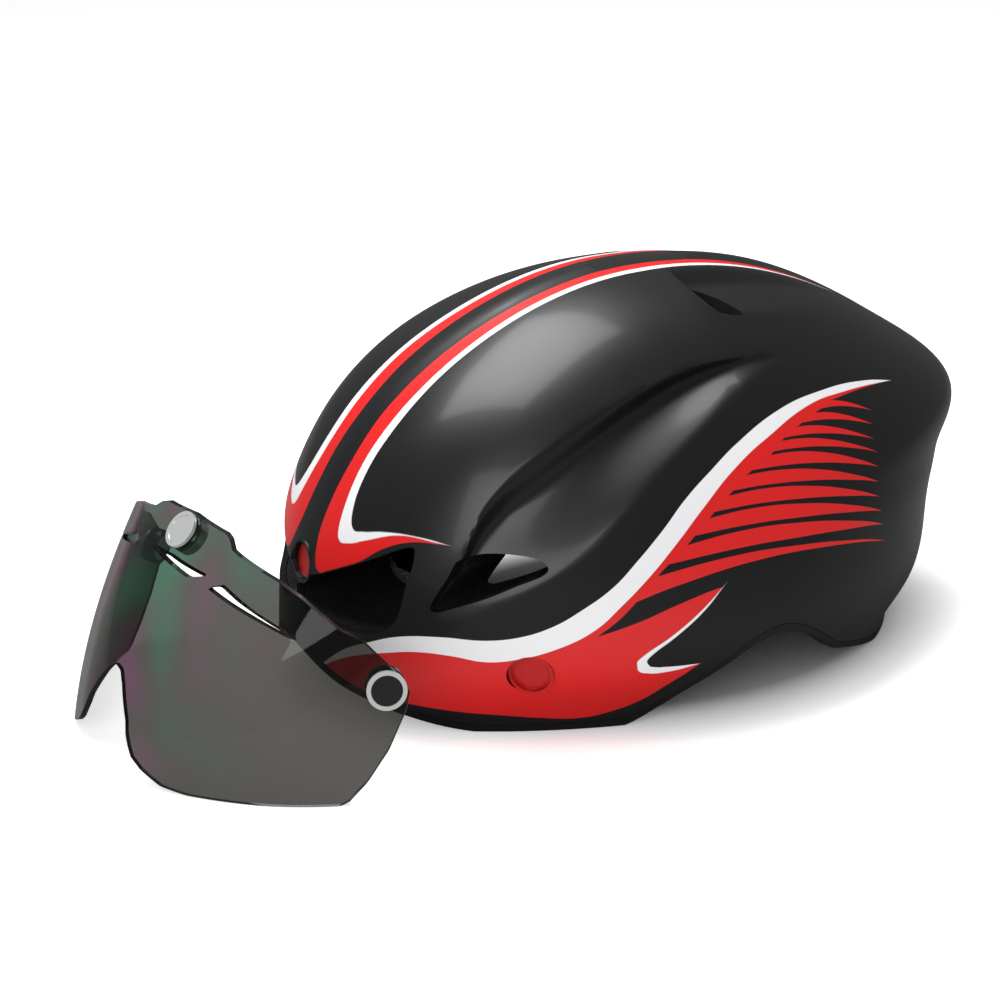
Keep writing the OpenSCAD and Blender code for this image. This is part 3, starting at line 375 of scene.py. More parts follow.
def seat_cutters(radius):
    cutters = []
    for mount in frame["record"]["mounts"]:
        if mount["kind"] == "bore":
            place = Vector(mount["pos_m"]) / MM
            axis = Vector(mount["axis"])
            cutters.append(round_cutter("seat", place + axis * 3, axis, radius, 15))
    return cutters


# Livery
# Side lines, left side, mirrored on the right: the shell's own angle in degrees and the height in millimetres
BAND_TOP = [(11.5, 17), (15.5, 25.5), (18.5, 30.5), (23, 35), (29.5, 40), (37, 42), (45, 42), (50, 43.5),
            (55, 47), (60.5, 53.5), (65, 60), (69.5, 69), (74, 78), (78, 86), (82.5, 93), (88, 101),
            (97.5, 107.5), (111, 109.5), (124, 107.5), (131, 104)]
BAND_LOW = [(11.5, 17), (18, 26), (22, 29.5), (27, 32.5), (33, 35), (39, 35), (45, 33.5), (50, 35),
            (56.5, 39.5), (61.5, 45), (66.5, 54), (71, 63), (76, 73.5), (81, 83.5), (86, 92.5), (92, 100.5),
            (105, 106.5), (116.5, 107), (131, 104)]
# Foot of the red cheek; the black on the shell below it, down to the edge strip, is partly the black ground
# colour and partly painted shade along the rim
RED_FOOT_OVER_PAINTED_SHADE = [(14, 19), (24, 15), (35.5, 11.5), (43, 9.5), (50, 8), (55, 6.5), (61, 5.5), (66, 8), (70, 12.5),
            (73, 19), (77.5, 28), (81, 35), (88, 41), (110, 44), (150, 46)]
# Fin at the end of the red cheek: its white line's outer and inner edge, up its side and along its lower lip
FIN_SIDE = [(71, 26), (69.5, 26.5), (68, 28.5), (67.8, 31.5), (69, 34.5), (73, 40.3), (78, 48.5),
            (81.5, 55.5), (85, 63)]
FIN_LIP = [(67.9, 30), (68, 28.5), (69.5, 26.6), (72.5, 26.2), (77.5, 28), (85, 31)]
LINE_SIDE = [(72, 28.4), (69.9, 29.4), (69.3, 31.6), (70.2, 34.4), (73.6, 39.9), (78.4, 48.3), (81.5, 55.5),
             (84.4, 63)]
LINE_LIP = [(69.3, 31.4), (69.9, 29.4), (72, 28.6), (77.5, 28), (85, 27)]
# Comb: the line on which its gaps start, and the tips of the spikes between them
COMB_FOOT = [(55, 32), (62, 43), (65.5, 48.5), (68.5, 54.5), (72, 62.5), (77, 71.5), (81, 79), (84.5, 85),
             (87.5, 90.3), (91, 95), (95, 98.5), (100, 101.5), (106, 104), (111.5, 106), (125, 112)]
GAP_ENDS = [(106, 104), (100, 101.5), (95, 98.5), (91, 95), (87.5, 90.3), (84.5, 85), (81, 79), (77, 71.5),
            (72, 62.5)]
GAP_SLANTS = [0.32, 0.3, 0.25, 0.27, 0.26, 0.26, 0.3, 0.36, 0.4]
SPIKE_TIPS = [(119, 99), (117, 95), (115.3, 90.7), (115, 86.3), (114.7, 81.5), (115, 76.3), (115.5, 71),
              (116.3, 65.6), (117, 60.5), (118, 54)]
FIRST_GAP_TOP = [(111.5, 106), (121, 105.9), (131, 104.3), (145, 102.6)]
LAST_GAP_TOP = [(68.5, 54.5), (75, 58.5), (87, 62.5), (99.5, 61.5), (118, 54), (125, 49)]
LAST_GAP_LOW = [(62, 43), (69, 47.5), (75, 52), (81.5, 55.5), (90, 56), (118, 46), (150, 30)]
# Crown lines: degrees over the top from the brow against sideways millimetres, left side
STRIPE_IN = [(6, 12.6), (7.1, 11), (11, 8), (17, 7), (24, 7), (32, 6.5), (40, 7), (60, 7.4), (90, 7.6),
             (112, 8), (136, 10)]
STRIPE_MID = [(12, 20), (13.4, 18), (18, 15.6), (24, 14), (32, 14), (41, 14.3), (60, 13), (90, 11.8),
              (112, 10.6), (136, 10)]
STRIPE_OUT = [(14.6, 25), (15.6, 22.6), (18.5, 20), (24, 18.2), (32, 18), (41, 17.6), (60, 16.2),
              (90, 14.4), (112, 12.2), (136, 10)]
HOOK_LOW = [(8, 11), (11, 7.1), (14, 6.1), (19, 7), (26, 8.7), (33, 10.7), (40, 13.9), (48, 16.5),
            (57.5, 18.2), (80, 24)]
HOOK_MID = [(15.6, 18), (18, 13.4), (20, 12.2), (25, 12.3), (32, 13.9), (44, 16.9), (57.5, 18.2), (80, 21)]
HOOK_TOP = [(20, 18.5), (22.6, 15.6), (25, 14.6), (30, 15), (37, 16.2), (48, 17.6), (57.5, 18.2),
            (80, 17.5)]
# Full scales of the chart; the height that crown angles turn about, the fin's rise and the lines' blur
TURN, UP, ACROSS = 180.0, 150.0, 100.0
OVER_Z, FIN_LIFT, BLUR = 40, 2, 0.0006


def chart(points):
    """Side points as the flat chart's angle and height, each from 0 to 1."""
    points = np.asarray(points, float)
    place = shell_at(points[:, 0], points[:, 1], dents=False)
    return np.stack([around(place[:, 0], place[:, 1]) / TURN, points[:, 1] / UP], -1)


def bowed(a, b, lift):
    """Arc between two chart points, bowed upwards and carried on past the second."""
    a, b = chart([a, b])
    t = np.array([0, 0.25, 0.5, 0.75, 1, 1.5])[:, None]
    return a + (b - a) * t + np.array([0, 1]) * lift / UP * 4 * t * (1 - t)


def comb_gaps():
    """Upper and lower line of each gap between the comb's spikes."""
    gaps = [(chart(FIRST_GAP_TOP), bowed((111.5, 106), SPIKE_TIPS[0], 1.1))]
    for k, (end, slant) in enumerate(zip(GAP_ENDS, GAP_SLANTS)):
        before = GAP_ENDS[k - 1] if k else (111.5, 106)
        corner = np.array(end) + slant * (np.array(before) - np.array(end))
        gaps.append((bowed(corner, SPIKE_TIPS[k], 1.33 + 0.33 * k),
                     bowed(end, SPIKE_TIPS[k + 1], 1.7 + 0.61 * k)))
    return gaps + [(chart(LAST_GAP_TOP), chart(LAST_GAP_LOW))]


def store_angles(obj):
    """Stores each point's angle round the helmet, as if the scoops weren't there."""
    n = len(obj.data.vertices)
    co = np.empty(n * 3)
    obj.data.vertices.foreach_get("co", co)
    x, y, z = (co.reshape(n, 3) / MM).T
    layer = obj.data.attributes.new("turn", "FLOAT", "POINT")
    layer.data.foreach_set("value", (around(np.abs(x) + scoop_dent(y, z), y) / TURN).astype(np.float32))


# Materials
def srgb(r, g, b):
    linear = (((v / 255 + 0.055) / 1.055) ** 2.4 if v / 255 > 0.04045 else v / 255 / 12.92 for v in (r, g, b))
    return tuple(linear) + (1.0,)


def connect(tree, node, **inputs):
    """Feeds a node's inputs, each from a value or a socket; in0 names the first input by its place."""
    for key, value in inputs.items():
        socket = node.inputs[int(key[2:]) if key[:2] == "in" else key.replace("_", " ")]
        if isinstance(value, bpy.types.NodeSocket):
            tree.links.new(value, socket)
        else:
            socket.default_value = value


def add_node(tree, kind, settings=None, **inputs):
    node = tree.nodes.new("ShaderNode" + kind)
    for key, value in (settings or {}).items():
        setattr(node, key, value)
    connect(tree, node, **inputs)
    return node


def maths(tree, operation, *values):
    """Result of a maths node over values and sockets."""
    node = add_node(tree, "Math", {"operation": operation})
    connect(tree, node, **{"in%d" % k: value for k, value in enumerate(values)})
    return node.outputs[0]


def object_place(tree):
    return add_node(tree, "TexCoord").outputs["Object"]


def set_stops(node, first, last, *middle):
    """Sets a colour ramp's stops, each a place and a colour."""
    elements = node.color_ramp.elements
    for element, (place, colour) in zip(elements, (first, last)):
        element.position, element.color = place, colour
    for place, colour in middle:
        elements.new(place).color = colour


def new_group(name, inputs, outputs):
    """Node group from its inputs' defaults and its outputs' kinds, with its inputs and its last node."""
    tree = bpy.data.node_groups.new(name, "ShaderNodeTree")
    for label, value in inputs.items():
        kind = "NodeSocketFloat" if isinstance(value, float) else "NodeSocketColor"
        tree.interface.new_socket(name=label, in_out="INPUT", socket_type=kind).default_value = value
    for label, kind in outputs.items():
        tree.interface.new_socket(name=label, in_out="OUTPUT", socket_type="NodeSocket" + kind)
    return tree, tree.nodes.new("NodeGroupInput").outputs, tree.nodes.new("NodeGroupOutput")


def fine_grain():
    """Moulded or sprayed surface: a bump normal and a roughness mask."""
    tree, given, result = new_group("Fine grain", {"Scale": 900.0, "Height": 0.05, "Roughness": 0.4},
                                    {"Normal": "Vector", "Roughness": "Float"})
    place = object_place(tree)
    noise = add_node(tree, "TexNoise", Vector=place, Scale=given["Scale"], Detail=3)
    bump = add_node(tree, "Bump", Strength=given["Height"], Distance=0.0003, Height=noise.outputs["Fac"])
    broad = add_node(tree, "TexNoise", Vector=place, Scale=45)
    spread = add_node(tree, "MapRange", Value=broad.outputs["Fac"], To_Min=-0.05, To_Max=0.05)
    roughness = maths(tree, "ADD", spread.outputs["Result"], given["Roughness"])
    connect(tree, result, Normal=bump.outputs["Normal"], Roughness=roughness)
    return tree


def bead_foam():
    """Expanded bead foam: cell colour and bump."""
    tree, given, result = new_group("Bead foam", {"Colour": (0.02, 0.02, 0.02, 1), "Scale": 350.0},
                                    {"Colour": "Color", "Normal": "Vector"})
    cell = {"Vector": object_place(tree), "Scale": given["Scale"]}
    edges = add_node(tree, "TexVoronoi", {"feature": "DISTANCE_TO_EDGE"}, **cell)
    tone = add_node(tree, "TexVoronoi", **cell)
    rise = add_node(tree, "MapRange", Value=edges.outputs["Distance"], From_Max=0.12)
    bump = add_node(tree, "Bump", Strength=0.5, Distance=0.0004, Height=rise.outputs["Result"])
    mix = add_node(tree, "Mix", {"data_type": "RGBA", "blend_type": "MULTIPLY"}, Factor=0.5,
                   A=given["Colour"], B=tone.outputs["Color"])
    connect(tree, result, Colour=mix.outputs["Result"], Normal=bump.outputs["Normal"])
    return tree


def webbing_weave():
    """Ribs across and threads along a strap, from its own UV map in millimetres."""
    tree, given, result = new_group("Webbing weave",
                                    {"Dark": (0.01, 0.01, 0.01, 1), "Light": (0.06, 0.06, 0.06, 1)},
                                    {"Colour": "Color", "Normal": "Vector"})
    place = add_node(tree, "TexCoord").outputs["UV"]
    ribs = add_node(tree, "TexWave", {"bands_direction": "DIAGONAL"}, Vector=place, Scale=0.55)
    threads = add_node(tree, "TexWave", {"bands_direction": "Y"}, Vector=place, Scale=0.45)
    both = maths(tree, "MULTIPLY", ribs.outputs["Fac"], threads.outputs["Fac"])
    bump = add_node(tree, "Bump", Strength=0.6, Distance=0.0004, Height=both)
    mix = add_node(tree, "Mix", {"data_type": "RGBA"}, Factor=both, A=given["Dark"], B=given["Light"])
    connect(tree, result, Colour=mix.outputs["Result"], Normal=bump.outputs["Normal"])
    return tree


def livery():
    """Masks of the red and the white stripes, drawn as curves over the shell's angle and height."""
    tree, given, result = new_group("Livery", {"Turn": 0.0}, {"Red": "Float", "White": "Float"})

    def joined(operation, parts):
        value = parts[0]
        for part in parts[1:]:
            value = maths(tree, operation, value, part)
        return value

    def drawn(points, place):
        """Value of a drawn line at a place."""
        node = add_node(tree, "FloatCurve")
        node.mapping.extend = "EXTRAPOLATED"
        track = node.mapping.curves[0]
        points = sorted(map(tuple, points))
        start, reach = points[0][0], points[-1][0] - points[0][0]
        track.points[0].location, track.points[1].location = (0, points[0][1]), (1, points[-1][1])
        for x, y in points[1:-1]:
            track.points.new((x - start) / reach, y)
        node.mapping.update()
        connect(tree, node, Value=maths(tree, "MULTIPLY_ADD", place, 1 / reach, -start / reach))
        return node.outputs["Value"]

    split = add_node(tree, "SeparateXYZ", Vector=object_place(tree)).outputs
    turn, up = given["Turn"], maths(tree, "MULTIPLY", split["Z"], 1000 / UP)
    side = maths(tree, "MULTIPLY", maths(tree, "ABSOLUTE", split["X"]), 1000 / ACROSS)
    rise, ahead = maths(tree, "SUBTRACT", split["Z"], OVER_Z * MM), maths(tree, "MULTIPLY", split["Y"], -1.0)
    over = maths(tree, "MULTIPLY", maths(tree, "ARCTAN2", rise, ahead), 1 / math.pi)

    def above(points):
        return maths(tree, "SUBTRACT", drawn(points, turn), up)

    def below(points):
        return maths(tree, "SUBTRACT", up, drawn(points, turn))

    def behind(points):
        return maths(tree, "SUBTRACT", drawn(chart(points)[:, ::-1], up), turn)

    def outside(stripe, hook):
        stripe = [(a / TURN, b / ACROSS) for a, b in stripe]
        hook = [(a / ACROSS, b / TURN) for a, b in hook]
        return maths(tree, "MAXIMUM", maths(tree, "SUBTRACT", drawn(stripe, over), side),
                     maths(tree, "SUBTRACT", drawn(hook, side), over))

    def inverse(value):
        return maths(tree, "MULTIPLY", value, -1.0)

    low = chart(BAND_LOW)
    last = chart(LAST_GAP_LOW) + np.array([0, FIN_LIFT / UP])
    fin = joined("MAXIMUM", [behind(FIN_SIDE), above(chart(FIN_LIP)), below(last)])
    line = joined("MAXIMUM", [behind(LINE_SIDE), above(chart(LINE_LIP))])
    gaps = joined("MINIMUM", [maths(tree, "MAXIMUM", below(a), above(b)) for a, b in comb_gaps()])
    gaps = maths(tree, "MAXIMUM", gaps, below(chart(COMB_FOOT)))
    inner, middle, outer = (outside(stripe, hook) for stripe, hook in
                            ((STRIPE_IN, HOOK_LOW), (STRIPE_MID, HOOK_MID), (STRIPE_OUT, HOOK_TOP)))
    # The red stops at its foot; the black left below it is partly painted shade along the rim
    red = [joined("MAXIMUM", [below(low), above(chart(RED_FOOT_OVER_PAINTED_SHADE)), inverse(fin), inverse(gaps)]),
           maths(tree, "MAXIMUM", inner, inverse(middle))]
    white = [maths(tree, "MAXIMUM", above(low), below(chart(BAND_TOP))),
             maths(tree, "MAXIMUM", fin, inverse(line)), maths(tree, "MAXIMUM", middle, inverse(outer))]
    for name, parts in (("Red", red), ("White", white)):
        mask = add_node(tree, "MapRange", Value=joined("MINIMUM", parts), From_Min=BLUR, From_Max=-BLUR)
        connect(tree, result, **{name: mask.outputs["Result"]})
    return tree


GROUPS = {}


def group_node(material, key, **values):
    if key not in GROUPS:
        makers = {"grain": fine_grain, "foam": bead_foam, "weave": webbing_weave, "livery": livery}
        GROUPS[key] = makers[key]()
    node = material.node_tree.nodes.new("ShaderNodeGroup")
    node.node_tree = GROUPS[key]
    connect(material.node_tree, node, **values)
    return node


def principled(name, **sockets):
    material = bpy.data.materials.new(name)
    material.use_nodes = True
    shader = material.node_tree.nodes["Principled BSDF"]
    connect(material.node_tree, shader, **sockets)
    return material, shader


def moulded(name, colour, roughness=0.45, scale=900.0, height=0.12, **sockets):
    material, shader = principled(name, Base_Color=colour, **sockets)
    grain = group_node(material, "grain", Scale=scale, Height=height, Roughness=roughness).outputs
    connect(material.node_tree, shader, Normal=grain["Normal"], Roughness=grain["Roughness"])
    return material


def painted_shell(name, look):
    """Satin black paint with the red and white livery."""
    material, shader = principled(name, Specular_IOR_Level=0.5, Coat_Roughness=0.12, Coat_Weight=0.25)
    tree = material.node_tree
    grain = group_node(material, "grain", Scale=1400.0, Height=0.03, Roughness=0.36).outputs
    turn = add_node(tree, "Attribute", {"attribute_name": "turn"})
    masks = group_node(material, "livery", Turn=turn.outputs["Fac"]).outputs
    colour = tuple(look.black) + (1,)
    for mask, paint in ((masks["Red"], look.red), (masks["White"], look.white)):
        mix = add_node(tree, "Mix", {"data_type": "RGBA"}, Factor=mask, A=colour, B=tuple(paint) + (1,))
        colour = mix.outputs["Result"]
    connect(tree, shader, Base_Color=colour, Normal=grain["Normal"], Roughness=grain["Roughness"])
    return material


def tinted_lens(name):
    """Smoke lens with a thin green and pink coating that drifts over it; its green and pink are painted
    reflection in the lens's tint.
    """
    material, shader = principled(name, Roughness=0.02, IOR=1.35, Transmission_Weight=1.0,
                                  Specular_IOR_Level=0.5)
    tree = material.node_tree
    # The coating is real; its drifting green and pink patches are painted reflection, mixed into the tint
    drift = add_node(tree, "TexNoise", Vector=object_place(tree), Scale=22, Detail=1)
    bands = add_node(tree, "ValToRGB", Fac=drift.outputs["Fac"])
    set_stops(bands, (0.36, (0.1, 0.21, 0.15, 1)), (0.62, (0.23, 0.115, 0.18, 1)),
              (0.49, (0.14, 0.135, 0.125, 1)))
    coating = add_node(tree, "Attribute", {"attribute_name": "coating"})
    mix = add_node(tree, "Mix", {"data_type": "RGBA"}, Factor=coating.outputs["Fac"],
                   A=(0.138, 0.134, 0.123, 1), B=bands.outputs["Color"])
    connect(tree, shader, Base_Color=mix.outputs["Result"])
    return material


def foam_material(name, colour):
    material, shader = principled(name, Roughness=0.85, Specular_IOR_Level=0.2)
    foam = group_node(material, "foam", Colour=colour).outputs
    connect(material.node_tree, shader, Base_Color=foam["Colour"], Normal=foam["Normal"])
    return material


def webbing_material(name):
    material, shader = principled(name, Roughness=0.7, Sheen_Weight=0.2)
    weave = group_node(material, "weave").outputs
    connect(material.node_tree, shader, Base_Color=weave["Colour"], Normal=weave["Normal"])
    return material


def knit_material(name):
    """Brushed knit cloth over foam pads."""
    material, shader = principled(name, Roughness=0.9, Sheen_Weight=0.4, Sheen_Roughness=0.5)
    tree = material.node_tree
    loops = add_node(tree, "TexVoronoi", Vector=object_place(tree), Scale=900).outputs["Distance"]
    tone = add_node(tree, "ValToRGB", Fac=loops)
    set_stops(tone, (0, (0.03, 0.03, 0.033, 1)), (1, (0.012, 0.012, 0.013, 1)))
    bump = add_node(tree, "Bump", Strength=0.5, Distance=0.0005, Height=loops)
    connect(tree, shader, Base_Color=tone.outputs["Color"], Normal=bump.outputs["Normal"])
    return material


def seen_directly(tree, path):
    """One for rays from the camera or through the lens, else zero."""
    return maths(tree, "MAXIMUM", path["Is Camera Ray"], path["Is Transmission Ray"])


def floor_material(name):
    """White floor that glows for the camera away from the helmet, with a painted shadow where the glow stops
    under it, and is darker in reflections.
    """
    material, shader = principled(name, Roughness=0.9, Specular_IOR_Level=0.1, Emission_Color=(1, 1, 1, 1))
    tree = material.node_tree
    path = add_node(tree, "LightPath").outputs
    tone = add_node(tree, "MapRange", Value=path["Is Glossy Ray"], To_Min=0.82, To_Max=0.2)
    # Painted shadow: the glow fades out inside the helmet's own footprint, so the floor in the cavity stays
    # dark
    place = add_node(tree, "Mapping", Vector=object_place(tree), Location=(0, -0.09, 0), Scale=(10.4, 7.6, 1))
    away = add_node(tree, "VectorMath", {"operation": "LENGTH"}, in0=place.outputs["Vector"])
    outside_painted_shadow = add_node(tree, "MapRange", Value=away.outputs["Value"], From_Min=0.75, From_Max=1.05)
    lift = maths(tree, "MULTIPLY", seen_directly(tree, path), 0.58)
    glow = maths(tree, "MULTIPLY", outside_painted_shadow.outputs["Result"], lift)
    connect(tree, shader, Base_Color=tone.outputs["Result"], Emission_Strength=glow)
    return material


def studio_world(name):
    """White world: full for the camera, plain as light and weaker in reflections."""
    world = bpy.data.worlds.new(name)
    world.use_nodes = True
    tree = world.node_tree
    path = add_node(tree, "LightPath").outputs
    light = add_node(tree, "MapRange", Value=seen_directly(tree, path), To_Min=0.42, To_Max=1.0)
    strength = maths(tree, "MULTIPLY_ADD", path["Is Glossy Ray"], -0.28, light.outputs["Result"])
    connect(tree, tree.nodes["Background"], Color=(1, 1, 1, 1), Strength=strength)
    return world


def give(target, material):
    target.data.materials.clear()
    target.data.materials.append(material)


# Lens in millimetres and degrees
LENS_HALF, LENS_ANGLE, LENS_H, LENS_T = 94.0, 64.0, 86.0, 2.2
# Its depth as a share of its half width, the share of the height where its curve ends, how far it leans out
# at the foot and bulges in the middle, and the swell over the nose with its spread
LENS_DEEP, LENS_SPAN, LENS_LEAN, LENS_BULGE, NOSE_SWELL, NOSE_SPREAD = 0.87, 0.93, 28, 24, 4, 22
# Its upper and lower edge: shares of the height at shares of the angle; its end: shares of the angle up it
TOP_LINE = [(0, 0.995), (0.195, 0.98), (0.225, 0.968), (0.262, 0.936), (0.3, 0.925), (0.48, 0.88),
            (0.584, 0.84), (0.753, 0.745), (0.83, 0.715), (0.93, 0.63), (0.985, 0.58), (1, 0.56)]
LOW_LINE = [(0, 0.41), (0.035, 0.4), (0.07, 0.355), (0.14, 0.235), (0.155, 0.187), (0.178, 0.144),
            (0.2, 0.11), (0.25, 0.075), (0.34, 0.034), (0.438, 0.026), (0.616, 0.036), (0.88, 0.05),
            (0.95, 0.062), (0.985, 0.085), (1, 0.12)]
REAR_LINE = [(0, 0.895), (0.11, 0.925), (0.4, 0.97), (0.77, 1), (0.92, 0.998), (1, 0.98)]
VISOR_TURN, VISOR_TILT = 9.2, -5.7
VISOR_PLACE = (-4.4, -106.5, -0.1365 * LENS_H)
# Caps and slots as angles and shares of the height
BROW_CAP, TEMPLE_CAP = (0, 0.93), (59.3, 0.535)
SIDE_SLOT = [(15.4, 0.79), (18.4, 0.812), (39.6, 0.69), (37.6, 0.693)]
TOP_SLOT = [(-7, 0.83), (0.7, 0.838), (13.3, 0.824), (9, 0.798)]
SLOTS = [TOP_SLOT, SIDE_SLOT, [(-angle, share) for angle, share in SIDE_SLOT]]
# Coating and its painted reflection: it fades in over degrees from its end on the left, and over millimetres
# up from its foot
COATING_END, COATING_FADE, COATING_FOOT, COATING_RISE = 40, 32, 2, 12


def lens_at(angle, z, depth=0.0):
    """Point of the lens at an angle and a height, at a depth behind its outer face."""
    angle, z = np.broadcast_arrays(np.asarray(angle, float), np.asarray(z, float))
    t = z / (LENS_SPAN * LENS_H)
    a = np.radians(angle)
    reach = (LENS_DEEP * LENS_HALF - depth + LENS_LEAN * (1 - t) + LENS_BULGE * t * (1 - t)
             + NOSE_SWELL * (1 - t) * np.exp(-((angle / NOSE_SPREAD) ** 2)))
    return np.stack([(LENS_HALF - depth) * np.sin(a), -reach * np.cos(a), z], -1)


def lens_angle(x):
    """Angle of a sideways place on the lens."""
    return math.degrees(math.asin(max(-1, min(1, x / LENS_HALF))))


def visor_matrix():
    return (Matrix.Translation(Vector(VISOR_PLACE)) @ Matrix.Rotation(math.radians(VISOR_TURN), 4, "Z")
            @ Matrix.Rotation(math.radians(VISOR_TILT), 4, "X"))


def in_visor(points):
    m = np.array(visor_matrix())
    return np.asarray(points) @ m[:3, :3].T + m[:3, 3]


def lens_frame(place):
    """Matrix at a place on the lens: x sideways, z out of it."""
    angle, z = place[0], place[1] * LENS_H
    p = lens_at(angle, z)
    side = Vector(lens_at(angle + 1, z) - p).normalized()
    out = side.cross(Vector(lens_at(angle, z + 0.3) - p)).normalized()
    up = out.cross(side)
    return visor_matrix() @ Matrix.Translation(Vector(p)) @ Matrix((side, up, out)).transposed().to_4x4()


def stretches(*parts):
    """Even steps over stretches, each a start, an end and a number of points."""
    first = np.linspace(*parts[0])
    return np.concatenate([first] + [np.linspace(*part)[1:] for part in parts[1:]])


def lens_solid():
    u = stretches((0, 0.3, 40), (0.3, 0.9, 34), (0.9, 1, 12))
    u = np.concatenate([-u[:0:-1], u])
    v = stretches((0, 0.1, 5), (0.1, 0.9, 24), (0.9, 1, 6))
    top = np.interp(np.abs(u), *np.array(TOP_LINE).T)
    low = np.interp(np.abs(u), *np.array(LOW_LINE).T)
    wide = np.interp(v, *np.array(REAR_LINE).T)
    height = LENS_H * (low + (top - low) * v[:, None])
    angle = u * LENS_ANGLE * wide[:, None]
    outer, inner = (lens_at(angle, height, depth).reshape(-1, 3) for depth in (0, LENS_T))
    return finish_mesh("lens_skin", in_visor(np.concatenate([outer, inner])), slab_faces(len(u), len(v)))


def slot_cutter(corners):
    """Cutter through the lens with rounded corners."""
    ring = []
    corners = np.array(corners, float) * np.array([1, LENS_H])
    for k, b in enumerate(corners):
        a, c = corners[k - 1], corners[(k + 1) % len(corners)]
        p, q = (b + (end - b) / np.linalg.norm(end - b) * 0.8 for end in (a, c))
        for t in (0.0, 0.35, 0.65, 1.0):
            ring.append((1 - t) ** 2 * p + 2 * t * (1 - t) * b + t * t * q)
    ring = np.array(ring)
    outer, inner = lens_at(ring[:, 0], ring[:, 1], -4), lens_at(ring[:, 0], ring[:, 1], 6)
    n = len(ring)
    verts = np.concatenate([outer, inner, [outer.mean(0), inner.mean(0)]])
    return finish_mesh("slot", in_visor(verts), grid_faces(n, 2) + fans(n, 0, 2 * n, n))


# Ribbons: the upper half of a strap's section, as shares of its width and thickness
HALF_SECTION = [(0.5, 0.2), (0.47, 0.42), (0.35, 0.5), (0, 0.5), (-0.35, 0.5), (-0.47, 0.42), (-0.5, 0.2)]
# Routes on the cavity's wall: angle, height as a share of the shell's, depth as a share of its half width
FRONT_ROUTE = [(58, 0.345, 0.04), (60, 0.29, 0.036), (64, 0.235, 0.03), (67.4, 0.195, 0.03),
               (68, 0.168, 0.045), (68, 0.143, 0.06)]
REAR_ROUTE = [(150, 0.36, 0.05), (138, 0.345, 0.04), (124, 0.335, 0.035), (110, 0.33, 0.035),
              (96, 0.315, 0.04), (84, 0.278, 0.046), (75.5, 0.235, 0.056), (69.4, 0.206, 0.064),
              (68.1, 0.182, 0.087), (68, 0.143, 0.089)]
STRAP_W, STRAP_T = 15.0, 1.5
# Dividers: angle on the cavity's wall, height and depth as shares; the buckle's place along the helmet
DIVIDER, DIVIDER_TOP, DIVIDER_DEEP = 68, 0.09, 0.075
BUCKLE_Y = -0.29 * FRONT
# Headband: its two points on the racks, its rise there, its sweep round the wall, its depth and its section
BAND_STARTS, BAND_Y, BAND_RISE = (36.6, 44.6), 79.2, 7.275
BAND_REAR, BAND_SWEEP, BAND_DEEP, BAND_W, BAND_T = 122, 69, 8.3, 12.0, 1.4


def ribbon(name, points, sides, width, thick):
    """Flat strap with rounded edges, its UV map in millimetres."""
    points, sides = np.asarray(points, float), np.asarray(sides, float)
    n = len(points)
    section = HALF_SECTION + [(-a, -b) for a, b in HALF_SECTION]
    verts, places = [], []
    run = np.concatenate([[0], np.cumsum(np.linalg.norm(np.diff(points, axis=0), axis=1))])
    for i in range(n):
        t = points[min(i + 1, n - 1)] - points[max(i - 1, 0)]
        t /= np.linalg.norm(t)
        v = np.cross(t, sides[i])
        v /= np.linalg.norm(v)
        w = np.cross(v, t)
        for a, b in section:
            verts.append(points[i] + w * width * a + v * thick * b)
            places.append((run[i], a * width))
    c = len(section)
    faces = grid_faces(c, n) + [tuple(range(c))[::-1], tuple(range((n - 1) * c, n * c))]
    obj = finish_mesh(name, np.array(verts), faces)
    layer = obj.data.uv_layers.new(name="UVMap")
    for loop in obj.data.loops:
        layer.data[loop.index].uv = places[loop.vertex_index]
    shade(obj, 60)
    return obj


def wall_directions(angle, z):
    along = hollow_at(angle + 1, z) - hollow_at(angle, z)
    up = hollow_at(angle, z + 0.3) - hollow_at(angle, z)
    return along, up


def flip(points, side):
    return np.asarray(points) * np.array([side, 1, 1])


def wall_strap(name, route, side):
    """Strap down the cavity's wall along a route."""
    places = smooth_line(route, 60)
    path = hollow_at(places[:, 0], places[:, 1] * HEIGHT, places[:, 2] * HALF)
    along, up = wall_directions(places[:, 0], places[:, 1] * HEIGHT)
    travel = np.gradient(path, axis=0)
    return ribbon(name, flip(path, side), flip(np.cross(np.cross(along, up), travel), side), STRAP_W, STRAP_T)


def chin_strap(name, end_x, flat_x, side):
    """Strap from a divider down to the floor and along it to the buckle."""
    def mix(a, b, t):
        return a + (b - a) * t

    top, deep, floor = DIVIDER_TOP * HEIGHT, DIVIDER_DEEP * HALF, STRAP_T / 2 + 1
    start = hollow_at(DIVIDER, top, deep)
    points = [start, hollow_at(DIVIDER, 0.85 * top, deep), hollow_at(DIVIDER, 0.7 * top, deep),
              [mix(flat_x, start[0], 0.84), mix(BUCKLE_Y, start[1], 0.7), 2.4 * floor],
              [mix(flat_x, start[0], 0.62), mix(BUCKLE_Y, start[1], 0.3), 1.1 * floor],
              [mix(flat_x, start[0], 0.3), BUCKLE_Y, floor], [flat_x, BUCKLE_Y, 1.1 * floor],
              [mix(flat_x, end_x, 0.35), BUCKLE_Y, 3.8], [end_x, BUCKLE_Y, 3.8]]
    path = smooth_line(points, 60)
    along, _ = wall_directions(DIVIDER, top)
    along = along / np.linalg.norm(along)
    t = ramp(3 * np.linspace(0, 1, 60) - 1)[:, None]
    sides = along * (1 - t) + np.array([0, 1, 0]) * t
    return ribbon(name, flip(path, side), flip(sides, side), STRAP_W, STRAP_T)


